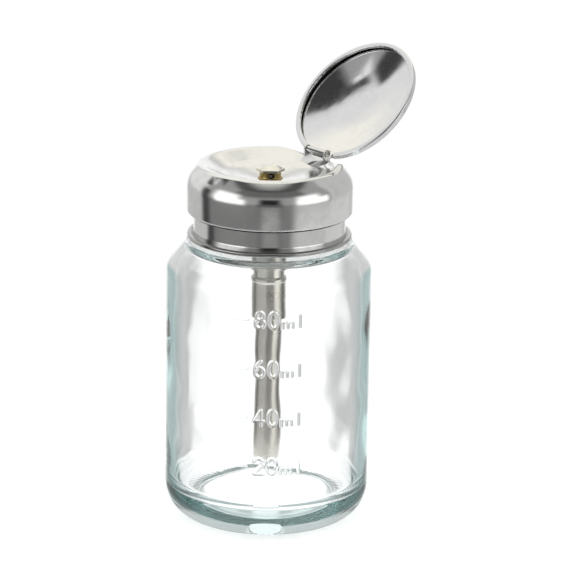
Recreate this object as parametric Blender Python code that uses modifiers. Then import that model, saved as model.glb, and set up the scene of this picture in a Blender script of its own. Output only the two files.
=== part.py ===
"""Glass pump dispenser bottle with a press-down steel head and a flip lid.

The origin is on the bottle's axis at the plane it stands on. +Z is up, and the lid's hinge is
towards +Y. The lid is modelled open, every other moving piece in its resting place. Metres.
"""

import math

import bmesh
import bpy
from mathutils import Matrix, Vector

# Glass bottle
body_radius = 0.0250
shoulder_height = 0.0637
shoulder_slope = math.radians(41.0)
shoulder_round = 0.0052
shoulder_rise = 0.0055
ledge_rise = 0.0005
ledge_round = 0.0015
glass_wall = 0.0022
floor_height = 0.0068
floor_round = 0.0040
heel_width = 0.0065
heel_height = 0.0080
foot_ring_width = 0.0016
base_recess = 0.0004
neck_radius = 0.0160
neck_wall = 0.0030
neck_height = 0.0053
lip_round = 0.0006
heel_notch_radius = 0.0039
heel_notch_depth = 0.0007
heel_notch_turn = math.radians(-41.0)
heel_notch_tilt = math.radians(135.0)

# Screw thread of the neck and the cap
thread_pitch = 0.0030
thread_bead_radius = 0.0008
thread_start = 0.0009
thread_top_gap = 0.0007
thread_runout_points = 3
cap_bead_radius = 0.0007
cap_bead_bite = 0.0003
cap_thread_top_gap = 0.0016
cap_thread_offset_turns = 0.5

# Cap: gasket, plastic insert and steel collar
seat_gap = 0.0002
side_gap = 0.0003
gasket_thickness = 0.0008
gasket_overhang = 0.0002
insert_wall = 0.0007
insert_disc_thickness = 0.0010
insert_skirt_gap = 0.0010
collar_sheet = 0.0005
collar_corner_round = 0.0009
collar_flare_round = 0.0010
collar_rim_width = 0.0015
collar_rim_depth = 0.0011
collar_rim_round = 0.0005
collar_rim_gap = 0.0009
collar_rim_lip = 0.0007

# Pump cylinder, hanging from the cap
cylinder_bore_radius = 0.0032
cylinder_wall = 0.0009
cylinder_length = 0.0259
cylinder_bead_width = 0.0008
cylinder_bead_rise = 0.0002
cylinder_waist_depth = 0.00035
cylinder_waist_length = 0.0043
cylinder_ring_drop = 0.0125
cylinder_ring_rise = 0.00015
cylinder_neck_length = 0.0047
cylinder_top_rise = 0.0009
cylinder_flange_width = 0.0025
cylinder_flange_thickness = 0.0012
cylinder_edge_round = 0.0003
nut_height = 0.0009
nut_width = 0.0150
guide_length = 0.0060
guide_drop = 0.0001

# Suction tube and foot valve
tube_wall = 0.0005
tube_floor_gap = 0.0071
tube_insertion = 0.0032
inlet_seat_thickness = 0.0018
inlet_hole_radius = 0.0009
inlet_ball_radius = 0.0012
valve_cone = 0.0006

# Stem, piston and spring
press_stroke = 0.0030
stroke_end_gap = 0.0002
running_gap = 0.0002
stem_radius = 0.0018
stem_bore_radius = 0.0007
stem_flange_radius = 0.0030
stem_flange_thickness = 0.0006
stem_spigot = 0.0012
stem_reach = 0.0138
washer_thickness = 0.0005
washer_overhang = 0.0002
piston_height = 0.0040
piston_socket_depth = 0.0022
piston_hole_radius = 0.0006
piston_groove_height = 0.0012
piston_groove_depth_share = 6 / 11
outlet_ball_radius = 0.0009
ball_lift = 0.0008
spring_wire_radius = 0.00025
spring_pitch = 0.00114
spring_side_gap = 0.00035

# Press bell with its dish
bell_sheet = 0.0005
bell_side_gap = 0.00033
bell_skirt_drop = 0.00174
bell_height = 0.01254
bell_curl_width = 0.00092
bell_curl_round = 0.0019
bell_curl_height = 0.00056
bell_shoulder_drop = 0.00375
bell_shoulder_round = 0.0100
bell_crest_round = 0.0025
bell_crest_inset = 0.00305
bell_crest_width = 0.0022
dish_knee_inset = 0.0040
dish_knee_drop = 0.0027
dish_knee_round = 0.0080
dish_depth = 0.0047
dish_floor_radius = 0.0038
dish_floor_round = 0.0030
dent_depth = 0.0019
dent_half_width = 0.0120
dent_inner_run = 0.0040
dent_skirt_run = 0.0045

# Brass nozzle
nozzle_washer_thickness = 0.0003
nozzle_base_flare = 0.00045
nozzle_base_height = 0.0003
nozzle_waist_radius = 0.0026
nozzle_waist_height = 0.0017
nozzle_head_across_corners = 0.0069
nozzle_head_height = 0.0007
nozzle_cone_height = 0.0008
nozzle_cone_radius = 0.0012
nozzle_hole_radius = 0.00075
nozzle_hole_turn = math.radians(-35.0)
nozzle_head_turn = math.radians(19.0)
nozzle_roof = 0.0006
nozzle_joint_overlap = 0.0003

# Lid and hinge
hinge_lift = 0.00025
lid_open_angle = math.radians(133.5)
lid_inset = 0.0002
lid_edge_overlap = 0.0006
lid_lift = 0.0011
lid_sheet = 0.0005
lid_hem_depth = 0.0009
lid_hem_width = 0.0010
lid_hem_undercut = 0.0003
lid_hem_round = 0.0003
lid_wall_height = 0.0010
lid_corner_round = 0.0014
lid_dome_rise = 0.0016
lid_dome_knee_share = 0.45
lid_dome_knee_rise_share = 0.8
knuckle_length = 0.0062
knuckle_wall = 0.00025
tongue_thickness = 0.0005
notch_side_gap = 0.0003
notch_depth = 0.0024
pin_radius = 0.00045
pin_side_gap = 0.0001
pin_head_rise = 0.00035
pin_head_length = 0.0003
ear_thickness = 0.0004
ear_side_gap = 0.0002
ear_rise = 0.0002
bracket_thickness = 0.0004
bracket_length = 0.0024
bracket_lift = 0.0004

# How finely round shapes are cut
heel_steps = 6
large_segments = 40
small_segments = 20
ball_segments = 12
ball_rings = 6
arc_step = math.radians(22.5)
small_fillet = 0.0012
small_arc_step = math.radians(45.0)
arc_slack_share = 0.01
fillet_limit_share = 0.49
sharp_angle = math.radians(30.0)
thread_points_per_turn = 20
spring_points_per_turn = 10
weld_distance = 0.0000005
overrun = 0.0010

# Places and fits worked out from the sizes above
ledge_height = shoulder_height + shoulder_rise
neck_bore_radius = neck_radius - neck_wall
neck_top = ledge_height + ledge_rise + neck_height
gasket_bottom = neck_top + seat_gap
disc_bottom = gasket_bottom + gasket_thickness + seat_gap
disc_top = disc_bottom + insert_disc_thickness
deck_bottom = disc_top + seat_gap
deck_top = deck_bottom + collar_sheet
neck_bead_bottom = ledge_height + ledge_rise + thread_start + thread_bead_radius / 2
thread_crest_radius = neck_radius + thread_bead_radius
insert_inner_radius = thread_crest_radius + side_gap
insert_outer_radius = insert_inner_radius + insert_wall
collar_inner_radius = insert_outer_radius + seat_gap
collar_outer_radius = collar_inner_radius + collar_sheet
collar_rim_radius = collar_outer_radius + collar_rim_width
cap_bead_axis = thread_crest_radius - cap_bead_bite + cap_bead_radius
collar_bottom = ledge_height + collar_rim_gap
insert_bottom = neck_top - neck_height + insert_skirt_gap
cylinder_flange_top = disc_bottom - seat_gap
cylinder_bottom = cylinder_flange_top - cylinder_length
cylinder_ring_height = cylinder_flange_top - cylinder_ring_drop
cylinder_bead_height = cylinder_ring_height - cylinder_waist_length
cylinder_neck_top = cylinder_ring_height + cylinder_neck_length
cylinder_radius = cylinder_bore_radius + cylinder_wall
cylinder_bead_radius = cylinder_radius + cylinder_bead_rise
cylinder_waist_radius = cylinder_radius - cylinder_waist_depth
cylinder_ring_radius = cylinder_radius + cylinder_ring_rise
cylinder_top_radius = cylinder_radius + cylinder_top_rise
cylinder_flange_radius = cylinder_top_radius + cylinder_flange_width
bell_bottom = deck_top - bell_skirt_drop
bell_bottom_radius = collar_outer_radius + bell_side_gap + bell_sheet
bell_radius = bell_bottom_radius + bell_curl_width
bell_crest_height = bell_bottom + bell_height
bell_shoulder_height = bell_crest_height - bell_shoulder_drop
bell_crest_outer = bell_radius - bell_crest_inset
bell_crest_inner = bell_crest_outer - bell_crest_width
dish_knee_radius = bell_crest_inner - dish_knee_inset
dish_knee_height = bell_crest_height - dish_knee_drop
dish_floor_height = bell_crest_height - dish_depth
dish_under = dish_floor_height - bell_sheet
tube_radius = cylinder_bore_radius - seat_gap
tube_bottom = floor_height + tube_floor_gap
tube_top = cylinder_bottom + tube_insertion
inlet_seat_bottom = tube_top + seat_gap
inlet_seat_top = inlet_seat_bottom + inlet_seat_thickness
washer_top = dish_under - seat_gap
stem_flange_top = washer_top - washer_thickness - seat_gap
stem_flange_bottom = stem_flange_top - stem_flange_thickness
cylinder_top = stem_flange_bottom - press_stroke - stroke_end_gap
stem_foot_bore_radius = outlet_ball_radius + side_gap
piston_top = stem_flange_bottom - stem_reach
piston_bottom = piston_top - piston_height
nozzle_washer_bottom = dish_floor_height + seat_gap / 2
nozzle_bottom = nozzle_washer_bottom + nozzle_washer_thickness + seat_gap / 2
nozzle_base_radius = nozzle_waist_radius + nozzle_base_flare
nozzle_waist_top = nozzle_bottom + nozzle_base_height + nozzle_waist_height
nozzle_head_top = nozzle_waist_top + nozzle_head_height
hinge_reach = bell_crest_inner
hinge_height = bell_crest_height + hinge_lift
lid_radius = bell_crest_outer - lid_inset
lid_reach = lid_radius - lid_edge_overlap
knuckle_bore_radius = pin_radius + pin_side_gap
knuckle_radius = knuckle_bore_radius + knuckle_wall
pin_head_radius = pin_radius + pin_head_rise
ear_radius = knuckle_radius + ear_rise
ear_inner = knuckle_length / 2 + ear_side_gap
ear_outer = ear_inner + ear_thickness
pin_end = ear_outer + seat_gap / 2 + pin_head_length
bracket_bottom = bell_crest_height - dent_depth + bracket_lift


def clear_scene():
    for thing in list(bpy.data.objects):
        bpy.data.objects.remove(thing, do_unlink=True)


def new_collection(name):
    collection = bpy.data.collections.new(name)
    bpy.context.scene.collection.children.link(collection)
    return collection


def new_material(name, colour, roughness, metallic, transmission=0.0):
    material = bpy.data.materials.new(name)
    material.use_nodes = True
    material.diffuse_color = (*colour, 1.0)
    shader = material.node_tree.nodes["Principled BSDF"]
    shader.inputs["Base Color"].default_value = (*colour, 1.0)
    shader.inputs["Roughness"].default_value = roughness
    shader.inputs["Metallic"].default_value = metallic
    shader.inputs["Transmission Weight"].default_value = transmission
    return material


def add_object(name, data, collection):
    thing = bpy.data.objects.new(name, data)
    collection.objects.link(thing)
    return thing


def settle(thing):
    """Turn the object's modifiers into plain geometry."""
    bpy.context.view_layer.update()
    graph = bpy.context.evaluated_depsgraph_get()
    mesh = bpy.data.meshes.new_from_object(thing.evaluated_get(graph))
    thing.modifiers.clear()
    thing.data = mesh


def finish(thing, material):
    """Give the object its material, with round faces smooth and corners sharp."""
    settle(thing)
    thing.data.materials.clear()
    thing.data.materials.append(material)
    thing.data.shade_smooth()
    thing.data.set_sharp_from_angle(angle=sharp_angle)
    return thing


def rounded(corners, closed):
    """Points of an outline whose corners (radius, height, fillet) are rounded off."""
    points = []
    count = len(corners)
    for index, (radius, height, fillet) in enumerate(corners):
        corner = Vector((radius, height))
        at_end = not closed and index in (0, count - 1)
        if at_end or fillet == 0:
            points.append(corner)
            continue
        before = Vector(corners[index - 1][:2]) - corner
        after = Vector(corners[(index + 1) % count][:2]) - corner
        turn = math.pi - before.angle(after)
        room = fillet_limit_share * min(before.length, after.length)
        reach = min(fillet * math.tan(turn / 2), room)
        fillet = reach / math.tan(turn / 2)
        bisector = (before.normalized() + after.normalized()).normalized()
        centre = corner + bisector * (fillet / math.cos(turn / 2))
        step_size = arc_step if fillet > small_fillet else small_arc_step
        steps = max(1, math.ceil(turn / step_size - arc_slack_share))
        start = corner + before.normalized() * reach - centre
        side = 1.0 if before.x * after.y - before.y * after.x < 0 else -1.0
        for step in range(steps + 1):
            swing = side * turn * step / steps
            cos, sin = math.cos(swing), math.sin(swing)
            turned_start = Vector((start.x * cos - start.y * sin, start.x * sin + start.y * cos))
            points.append(centre + turned_start)
    return points


def turned(name, corners, collection, closed=True, segments=large_segments):
    """A turned piece. The outline runs down its outer side and up its inner side."""
    points = rounded(corners, closed)
    mesh = bpy.data.meshes.new(name)
    edges = [(i, i + 1) for i in range(len(points) - 1)]
    if closed:
        edges.append((len(points) - 1, 0))
    mesh.from_pydata([(p.x, 0, p.y) for p in points], edges, [])
    thing = add_object(name, mesh, collection)
    screw = thing.modifiers.new("turn", "SCREW")
    screw.steps = segments
    screw.render_steps = segments
    screw.use_merge_vertices = not closed
    screw.merge_threshold = weld_distance
    settle(thing)
    return thing


def ring(name, inner, outer, bottom, top, collection, fillet=0.0, segments=small_segments):
    """A plain ring or sleeve with its edges rounded."""
    corners = [(outer, top, fillet), (outer, bottom, fillet), (inner, bottom, fillet), (inner, top, fillet)]
    return turned(name, corners, collection, segments=segments)


def rod(name, radius, bottom, top, collection, segments=small_segments):
    """A plain solid cylinder on the Z axis."""
    mesh = bpy.data.meshes.new(name)
    shape = bmesh.new()
    bmesh.ops.create_cone(
        shape, cap_ends=True, segments=segments, radius1=radius, radius2=radius, depth=top - bottom
    )
    bmesh.ops.translate(shape, verts=shape.verts, vec=(0, 0, (top + bottom) / 2))
    shape.to_mesh(mesh)
    shape.free()
    return add_object(name, mesh, collection)


def block(name, low, high, collection):
    """A box between two corners."""
    mesh = bpy.data.meshes.new(name)
    shape = bmesh.new()
    bmesh.ops.create_cube(shape, size=1.0)
    size = Vector(high) - Vector(low)
    bmesh.ops.scale(shape, verts=shape.verts, vec=size)
    bmesh.ops.translate(shape, verts=shape.verts, vec=(Vector(low) + Vector(high)) / 2)
    shape.to_mesh(mesh)
    shape.free()
    return add_object(name, mesh, collection)


def ball(name, radius, height, collection):
    mesh = bpy.data.meshes.new(name)
    shape = bmesh.new()
    bmesh.ops.create_uvsphere(shape, u_segments=ball_segments, v_segments=ball_rings, radius=radius)
    shape.to_mesh(mesh)
    shape.free()
    thing = add_object(name, mesh, collection)
    thing.location.z = height
    return thing


def circle(radius, segments):
    """Points of a circle, anticlockwise from its right."""
    turns = [math.tau * step / segments for step in range(segments)]
    return [(radius * math.cos(turn), radius * math.sin(turn)) for turn in turns]


def plate(name, outlines, thickness, collection):
    """A flat plate, centred on its own plane. Outlines after the first are holes in it."""
    curve = bpy.data.curves.new(name, "CURVE")
    curve.dimensions = "2D"
    curve.fill_mode = "BOTH"
    curve.extrude = thickness / 2
    for outline in outlines:
        spline = curve.splines.new("POLY")
        spline.points.add(len(outline) - 1)
        for point, (x, y) in zip(spline.points, outline):
            point.co = (x, y, 0, 1.0)
        spline.use_cyclic_u = True
    return add_object(name, mesh_of_curve(name, curve), collection)


def mesh_of_curve(name, curve):
    """The closed mesh that a curve makes, with its caps welded on."""
    guide = bpy.data.objects.new(name + "_curve", curve)
    bpy.context.scene.collection.objects.link(guide)
    bpy.context.view_layer.update()
    graph = bpy.context.evaluated_depsgraph_get()
    mesh = bpy.data.meshes.new_from_object(guide.evaluated_get(graph))
    shape = bmesh.new()
    shape.from_mesh(mesh)
    bmesh.ops.remove_doubles(shape, verts=shape.verts, dist=weld_distance)
    bmesh.ops.recalc_face_normals(shape, faces=shape.faces)
    shape.to_mesh(mesh)
    shape.free()
    bpy.data.objects.remove(guide)
    return mesh


def move_mesh(thing, matrix):
    thing.data.transform(matrix)


def helix_mesh(name, radius, pitch, bottom, turns, first_turn, wire, points_per_turn, collection, taper):
    """A helical wire as a closed mesh. A tapered one runs out thin at both ends."""
    curve = bpy.data.curves.new(name, "CURVE")
    curve.dimensions = "3D"
    curve.bevel_depth = wire
    curve.bevel_resolution = 1
    curve.use_fill_caps = True
    spline = curve.splines.new("POLY")
    count = round(turns * points_per_turn) + 1
    spline.points.add(count - 1)
    for index, point in enumerate(spline.points):
        turn = first_turn + turns * index / (count - 1)
        angle = math.tau * turn
        height = bottom + pitch * (turn - first_turn)
        point.co = (radius * math.cos(angle), radius * math.sin(angle), height, 1.0)
        from_end = min(index, count - 1 - index)
        point.radius = min(1.0, (from_end + 1) / taper) if taper else 1.0
    return add_object(name, mesh_of_curve(name, curve), collection)


def combine(thing, other, operation):
    """Join the other shape to this one or cut it away, and keep the other as a hidden guide."""
    step = thing.modifiers.new(operation.lower(), "BOOLEAN")
    step.operation = operation
    step.object = other
    step.solver = "EXACT"
    settle(thing)
    other.hide_render = True
    other.display_type = "WIRE"


def across_x(thing, y, z):
    """Lay a shape made along Z on its side, so that it runs along X through (y, z)."""
    move_mesh(thing, Matrix.Translation((0, y, z)) @ Matrix.Rotation(math.pi / 2, 4, "Y"))


def heel_curve():
    """The heel's outline from the wall down to the foot, a quarter of an ellipse."""
    points = []
    for step in range(heel_steps + 1):
        swing = math.pi / 2 * step / heel_steps
        inward = heel_width * (1 - math.cos(swing))
        points.append((body_radius - inward, heel_height * (1 - math.sin(swing)), 0))
    return points


def make_glass_bottle(parts, cutters):
    slope = math.tan(shoulder_slope)
    inner_radius = body_radius - glass_wall
    inner_shoulder = shoulder_height - glass_wall * math.tan(shoulder_slope / 2)
    inner_ledge = ledge_height - glass_wall
    inner_ledge_radius = inner_radius - (inner_ledge - inner_shoulder) * slope
    ledge_radius = body_radius - (ledge_height - shoulder_height) * slope
    recess_radius = body_radius - heel_width - foot_ring_width
    heel = heel_curve()
    corners = [
        (0, floor_height, 0),
        (inner_radius, floor_height, floor_round),
        (inner_radius, inner_shoulder, shoulder_round),
        (inner_ledge_radius, inner_ledge, ledge_round),
        (neck_bore_radius, inner_ledge + ledge_rise, ledge_round),
        (neck_bore_radius, neck_top, lip_round),
        (neck_radius, neck_top, lip_round),
        (neck_radius, ledge_height + ledge_rise, lip_round),
        (ledge_radius, ledge_height, ledge_round),
        (body_radius, shoulder_height, shoulder_round),
        *heel,
        (recess_radius, 0, 0),
        (recess_radius - base_recess, base_recess, 0),
        (0, base_recess, 0),
    ]
    bottle = turned("glass_bottle", corners, parts, closed=False)
    thread_turns = (neck_top - thread_top_gap - neck_bead_bottom) / thread_pitch
    bead = helix_mesh(
        "neck_thread", neck_radius, thread_pitch, neck_bead_bottom, thread_turns, 0,
        thread_bead_radius, thread_points_per_turn, cutters, taper=thread_runout_points,
    )
    combine(bottle, bead, "UNION")
    notch = rod("heel_notch", heel_notch_radius, -heel_notch_depth, heel_height, cutters)
    tilt = Matrix.Rotation(heel_notch_tilt, 4, "Y")
    middle_radius, middle_height, _ = heel[heel_steps // 2]
    centre = Matrix.Translation((middle_radius, 0, middle_height))
    move_mesh(notch, Matrix.Rotation(heel_notch_turn, 4, "Z") @ centre @ tilt)
    combine(bottle, notch, "DIFFERENCE")
    return bottle


def make_gasket(parts):
    outer = neck_radius + gasket_overhang
    top = gasket_bottom + gasket_thickness
    inner = neck_bore_radius - gasket_overhang
    return ring("neck_gasket", inner, outer, gasket_bottom, top, parts, segments=large_segments)


def make_thread_insert(parts, cutters):
    hole = cylinder_top_radius + side_gap
    corners = [
        (insert_outer_radius, disc_top, collar_sheet),
        (insert_outer_radius, insert_bottom, 0),
        (insert_inner_radius, insert_bottom, 0),
        (insert_inner_radius, disc_bottom, 0),
        (hole, disc_bottom, 0),
        (hole, disc_top, 0),
    ]
    insert = turned("thread_insert", corners, parts)
    lowest = insert_bottom + cap_bead_radius + seat_gap
    cap_thread_turns = (disc_bottom - cap_thread_top_gap - lowest) / thread_pitch
    first_turn = (lowest - neck_bead_bottom) / thread_pitch + cap_thread_offset_turns
    bead = helix_mesh(
        "cap_thread", cap_bead_axis, thread_pitch, lowest, cap_thread_turns, first_turn,
        cap_bead_radius, thread_points_per_turn, cutters, taper=thread_runout_points,
    )
    combine(insert, bead, "UNION")
    return insert


def make_collar(parts):
    rim_top = collar_bottom + collar_rim_depth
    hole = cylinder_top_radius + side_gap
    lip = collar_inner_radius + collar_rim_lip
    corners = [
        (collar_outer_radius, deck_top, collar_corner_round),
        (collar_outer_radius, rim_top, collar_flare_round),
        (collar_rim_radius, rim_top, collar_rim_round),
        (collar_rim_radius, collar_bottom, collar_rim_round),
        (lip, collar_bottom, collar_rim_round / 2),
        (lip, rim_top - collar_sheet, 0),
        (collar_inner_radius, rim_top + collar_sheet, 0),
        (collar_inner_radius, deck_bottom, collar_corner_round - collar_sheet),
        (hole, deck_bottom, 0),
        (hole, deck_top, 0),
    ]
    return turned("collar_shell", corners, parts)


def make_cylinder(parts):
    bead_half = cylinder_bead_width / 2
    flange_bottom = cylinder_flange_top - cylinder_flange_thickness
    step = cylinder_edge_round
    corners = [
        (cylinder_top_radius, cylinder_top, 0),
        (cylinder_top_radius, cylinder_flange_top, 0),
        (cylinder_flange_radius, cylinder_flange_top, 0),
        (cylinder_flange_radius, flange_bottom, 0),
        (cylinder_top_radius, flange_bottom, 0),
        (cylinder_top_radius, cylinder_neck_top, 0),
        (cylinder_radius, cylinder_neck_top, 0),
        (cylinder_radius, cylinder_ring_height + bead_half, 0),
        (cylinder_ring_radius, cylinder_ring_height + bead_half, 0),
        (cylinder_ring_radius, cylinder_ring_height - bead_half, step),
        (cylinder_waist_radius, cylinder_ring_height - bead_half - step, 0),
        (cylinder_waist_radius, cylinder_bead_height + bead_half + step, 0),
        (cylinder_bead_radius, cylinder_bead_height + bead_half, step),
        (cylinder_bead_radius, cylinder_bead_height - bead_half, step),
        (cylinder_radius, cylinder_bead_height - bead_half - step, 0),
        (cylinder_radius, cylinder_bottom, step),
        (cylinder_bore_radius, cylinder_bottom, 0),
        (cylinder_bore_radius, cylinder_top, 0),
    ]
    return turned("pump_cylinder", corners, parts, segments=small_segments)


def make_nut(parts, cutters):
    bottom = deck_top + seat_gap
    nut = rod("pump_nut", nut_width / math.sqrt(3), bottom, bottom + nut_height, parts, segments=6)
    bore_radius = cylinder_top_radius + seat_gap
    bore = rod("nut_bore", bore_radius, bottom - overrun, bottom + nut_height + overrun, cutters)
    combine(nut, bore, "DIFFERENCE")
    return nut


def make_guide(parts):
    top = cylinder_top - guide_drop
    inner = stem_radius + running_gap
    outer = cylinder_bore_radius - seat_gap
    return ring("stem_guide", inner, outer, top - guide_length, top, parts)


def make_tube(parts):
    return ring("dip_tube", tube_radius - tube_wall, tube_radius, tube_bottom, tube_top, parts)


def make_inlet(parts):
    outer = cylinder_bore_radius - seat_gap
    cone = inlet_hole_radius + valve_cone
    corners = [
        (outer, inlet_seat_top, 0),
        (outer, inlet_seat_bottom, 0),
        (inlet_hole_radius, inlet_seat_bottom, 0),
        (inlet_hole_radius, inlet_seat_top - valve_cone, 0),
        (cone, inlet_seat_top, 0),
    ]
    seat = turned("inlet_seat", corners, parts, segments=small_segments)
    rest = inlet_seat_top - valve_cone + inlet_ball_radius * math.sqrt(0.5) + running_gap
    return seat, ball("inlet_ball", inlet_ball_radius, rest, parts)


def make_stem(parts):
    foot = piston_top - piston_socket_depth + seat_gap
    spigot_radius = stem_radius - running_gap
    ball_room = foot + 2 * outlet_ball_radius + ball_lift + seat_gap
    top = nozzle_bottom + stem_spigot
    corners = [
        (spigot_radius, top, 0),
        (spigot_radius, stem_flange_top, 0),
        (stem_flange_radius, stem_flange_top, 0),
        (stem_flange_radius, stem_flange_bottom, 0),
        (stem_radius, stem_flange_bottom, 0),
        (stem_radius, foot, 0),
        (stem_foot_bore_radius, foot, 0),
        (stem_foot_bore_radius, ball_room, 0),
        (stem_bore_radius, ball_room + valve_cone, 0),
        (stem_bore_radius, top, 0),
    ]
    return turned("stem", corners, parts, segments=small_segments)


def make_piston(parts):
    outer = cylinder_bore_radius - running_gap
    socket = stem_radius + seat_gap / 2
    socket_bottom = piston_top - piston_socket_depth
    groove_top = (piston_top + piston_bottom + piston_groove_height) / 2
    groove_bottom = groove_top - piston_groove_height
    groove = outer - (outer - socket) * piston_groove_depth_share
    corners = [
        (outer, piston_top, 0),
        (outer, groove_top, 0),
        (groove, groove_top, 0),
        (groove, groove_bottom, 0),
        (outer, groove_bottom, 0),
        (outer, piston_bottom, 0),
        (piston_hole_radius, piston_bottom, 0),
        (piston_hole_radius, socket_bottom, 0),
        (socket, socket_bottom, 0),
        (socket, piston_top, 0),
    ]
    piston = turned("piston", corners, parts, segments=small_segments)
    gap = running_gap / 2
    seal = ring(
        "piston_seal", groove + gap, cylinder_bore_radius - gap, groove_bottom + gap, groove_top - gap, parts,
    )
    drop = math.sqrt(outlet_ball_radius**2 - piston_hole_radius**2)
    check = ball("outlet_ball", outlet_ball_radius, socket_bottom + drop + running_gap / 2, parts)
    return piston, seal, check


def make_spring(parts):
    mean = cylinder_bore_radius - spring_side_gap - spring_wire_radius
    bottom = inlet_seat_top + seat_gap + spring_wire_radius
    top = piston_bottom - seat_gap - spring_wire_radius
    spring_turns = max(1, round((top - bottom) / spring_pitch))
    pitch = (top - bottom) / spring_turns
    return helix_mesh(
        "return_spring", mean, pitch, bottom, spring_turns, 0,
        spring_wire_radius, spring_points_per_turn, parts, taper=0,
    )


def make_dish_washer(parts):
    inner = stem_radius + running_gap
    outer = stem_flange_radius + washer_overhang
    return ring("dish_washer", inner, outer, washer_top - washer_thickness, washer_top, parts)


def dent(point):
    """How far the bell's sheet is pressed down under the hinge at this point."""
    if point.y < 0:
        return 0
    across = min(1.0, abs(point.x) / dent_half_width)
    radius = math.hypot(point.x, point.y)
    along = (bell_crest_inner - radius) / dent_inner_run
    if radius > bell_crest_inner:
        along = (bell_crest_height - point.z) / dent_skirt_run
    along = min(1.0, max(0, along))
    return dent_depth * (1 - across**3) ** 2 * (1 - along**2) ** 2


def make_bell(parts):
    hole = stem_radius + running_gap
    corners = [
        (hole, dish_floor_height, 0),
        (dish_floor_radius, dish_floor_height, dish_floor_round),
        (dish_knee_radius, dish_knee_height, dish_knee_round),
        (bell_crest_inner, bell_crest_height, bell_crest_round),
        (bell_crest_outer, bell_crest_height, bell_crest_round),
        (bell_radius, bell_shoulder_height, bell_shoulder_round),
        (bell_radius, bell_bottom + bell_curl_height, bell_curl_round),
        (bell_bottom_radius, bell_bottom, 0),
    ]
    bell = turned("press_bell", corners, parts, closed=False)
    wall = bell.modifiers.new("sheet", "SOLIDIFY")
    wall.thickness = bell_sheet
    wall.offset = -1.0
    wall.use_even_offset = True
    settle(bell)
    for vertex in bell.data.vertices:
        vertex.co.z -= dent(vertex.co)
    return bell


def make_nozzle(parts, cutters):
    head_radius = nozzle_head_across_corners / 2
    inner = stem_radius
    corners = [
        (inner, nozzle_bottom, 0),
        (inner, nozzle_head_top - nozzle_roof, 0),
        (0, nozzle_head_top - nozzle_roof, 0),
    ]
    outside = [
        (0, nozzle_waist_top + nozzle_joint_overlap, 0),
        (nozzle_waist_radius, nozzle_waist_top + nozzle_joint_overlap, 0),
        (nozzle_waist_radius, nozzle_bottom + nozzle_base_height, nozzle_base_height),
        (nozzle_base_radius, nozzle_bottom, 0),
    ]
    nozzle = turned("nozzle", outside + corners, parts, closed=False, segments=small_segments)
    head = rod("nozzle_head", head_radius, nozzle_waist_top, nozzle_head_top, cutters, segments=6)
    move_mesh(head, Matrix.Rotation(nozzle_head_turn, 4, "Z"))
    tip = bpy.data.meshes.new("nozzle_tip")
    shape = bmesh.new()
    bmesh.ops.create_cone(
        shape, cap_ends=True, segments=small_segments, radius1=head_radius * math.cos(math.pi / 6),
        radius2=nozzle_cone_radius, depth=nozzle_cone_height + nozzle_joint_overlap,
    )
    middle = nozzle_head_top + (nozzle_cone_height - nozzle_joint_overlap) / 2
    bmesh.ops.translate(shape, verts=shape.verts, vec=(0, 0, middle))
    shape.to_mesh(tip)
    shape.free()
    tip = add_object("nozzle_tip", tip, cutters)
    combine(nozzle, head, "UNION")
    combine(nozzle, tip, "UNION")
    hole = rod("nozzle_hole", nozzle_hole_radius, 0, nozzle_base_radius + overrun, cutters)
    hole_height = nozzle_bottom + nozzle_base_height + nozzle_waist_height / 2
    turn = Matrix.Rotation(nozzle_hole_turn, 4, "Z") @ Matrix.Rotation(math.pi / 2, 4, "Y")
    move_mesh(hole, Matrix.Translation((0, 0, hole_height)) @ turn)
    combine(nozzle, hole, "DIFFERENCE")
    return nozzle


def make_nozzle_seal(parts):
    top = nozzle_washer_bottom + nozzle_washer_thickness
    return ring("nozzle_seal", stem_radius, nozzle_waist_radius, nozzle_washer_bottom, top, parts)


def ear_plate(name, middle, collection):
    """One upright ear of the bracket: a plate with a round top and the hinge pin's hole in it."""
    foot = hinge_height - bracket_bottom - bracket_thickness / 2
    arch = circle(ear_radius, small_segments)[: small_segments // 2 + 1]
    outline = [(ear_radius, -foot), *arch, (-ear_radius, -foot)]
    ear = plate(name, [outline, circle(knuckle_bore_radius, small_segments)], ear_thickness, collection)
    upright = Matrix(((0, 0, 1), (1, 0, 0), (0, 1, 0))).to_4x4()
    move_mesh(ear, Matrix.Translation((middle, hinge_reach, hinge_height)) @ upright)
    return ear


def make_bracket(parts, cutters):
    half = (ear_inner + ear_outer) / 2
    low = (-half, hinge_reach - bracket_length, bracket_bottom)
    high = (half, hinge_reach, bracket_bottom + bracket_thickness)
    bracket = block("hinge_bracket", low, high, parts)
    for side in (-1, 1):
        combine(bracket, ear_plate(f"ear_{side}", side * half, cutters), "UNION")
    return bracket


def make_pin(parts, cutters):
    end = pin_end - pin_head_length
    overlap = pin_head_length / 2
    pin = rod("hinge_pin", pin_radius, -end - overlap, end + overlap, parts)
    for side in (-1, 1):
        inner, outer = sorted((side * end, side * pin_end))
        head = rod(f"pin_head_{side}", pin_head_radius, inner, outer, cutters)
        combine(pin, head, "UNION")
    across_x(pin, 0, 0)
    pin.location = (0, hinge_reach, hinge_height)
    return pin


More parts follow.
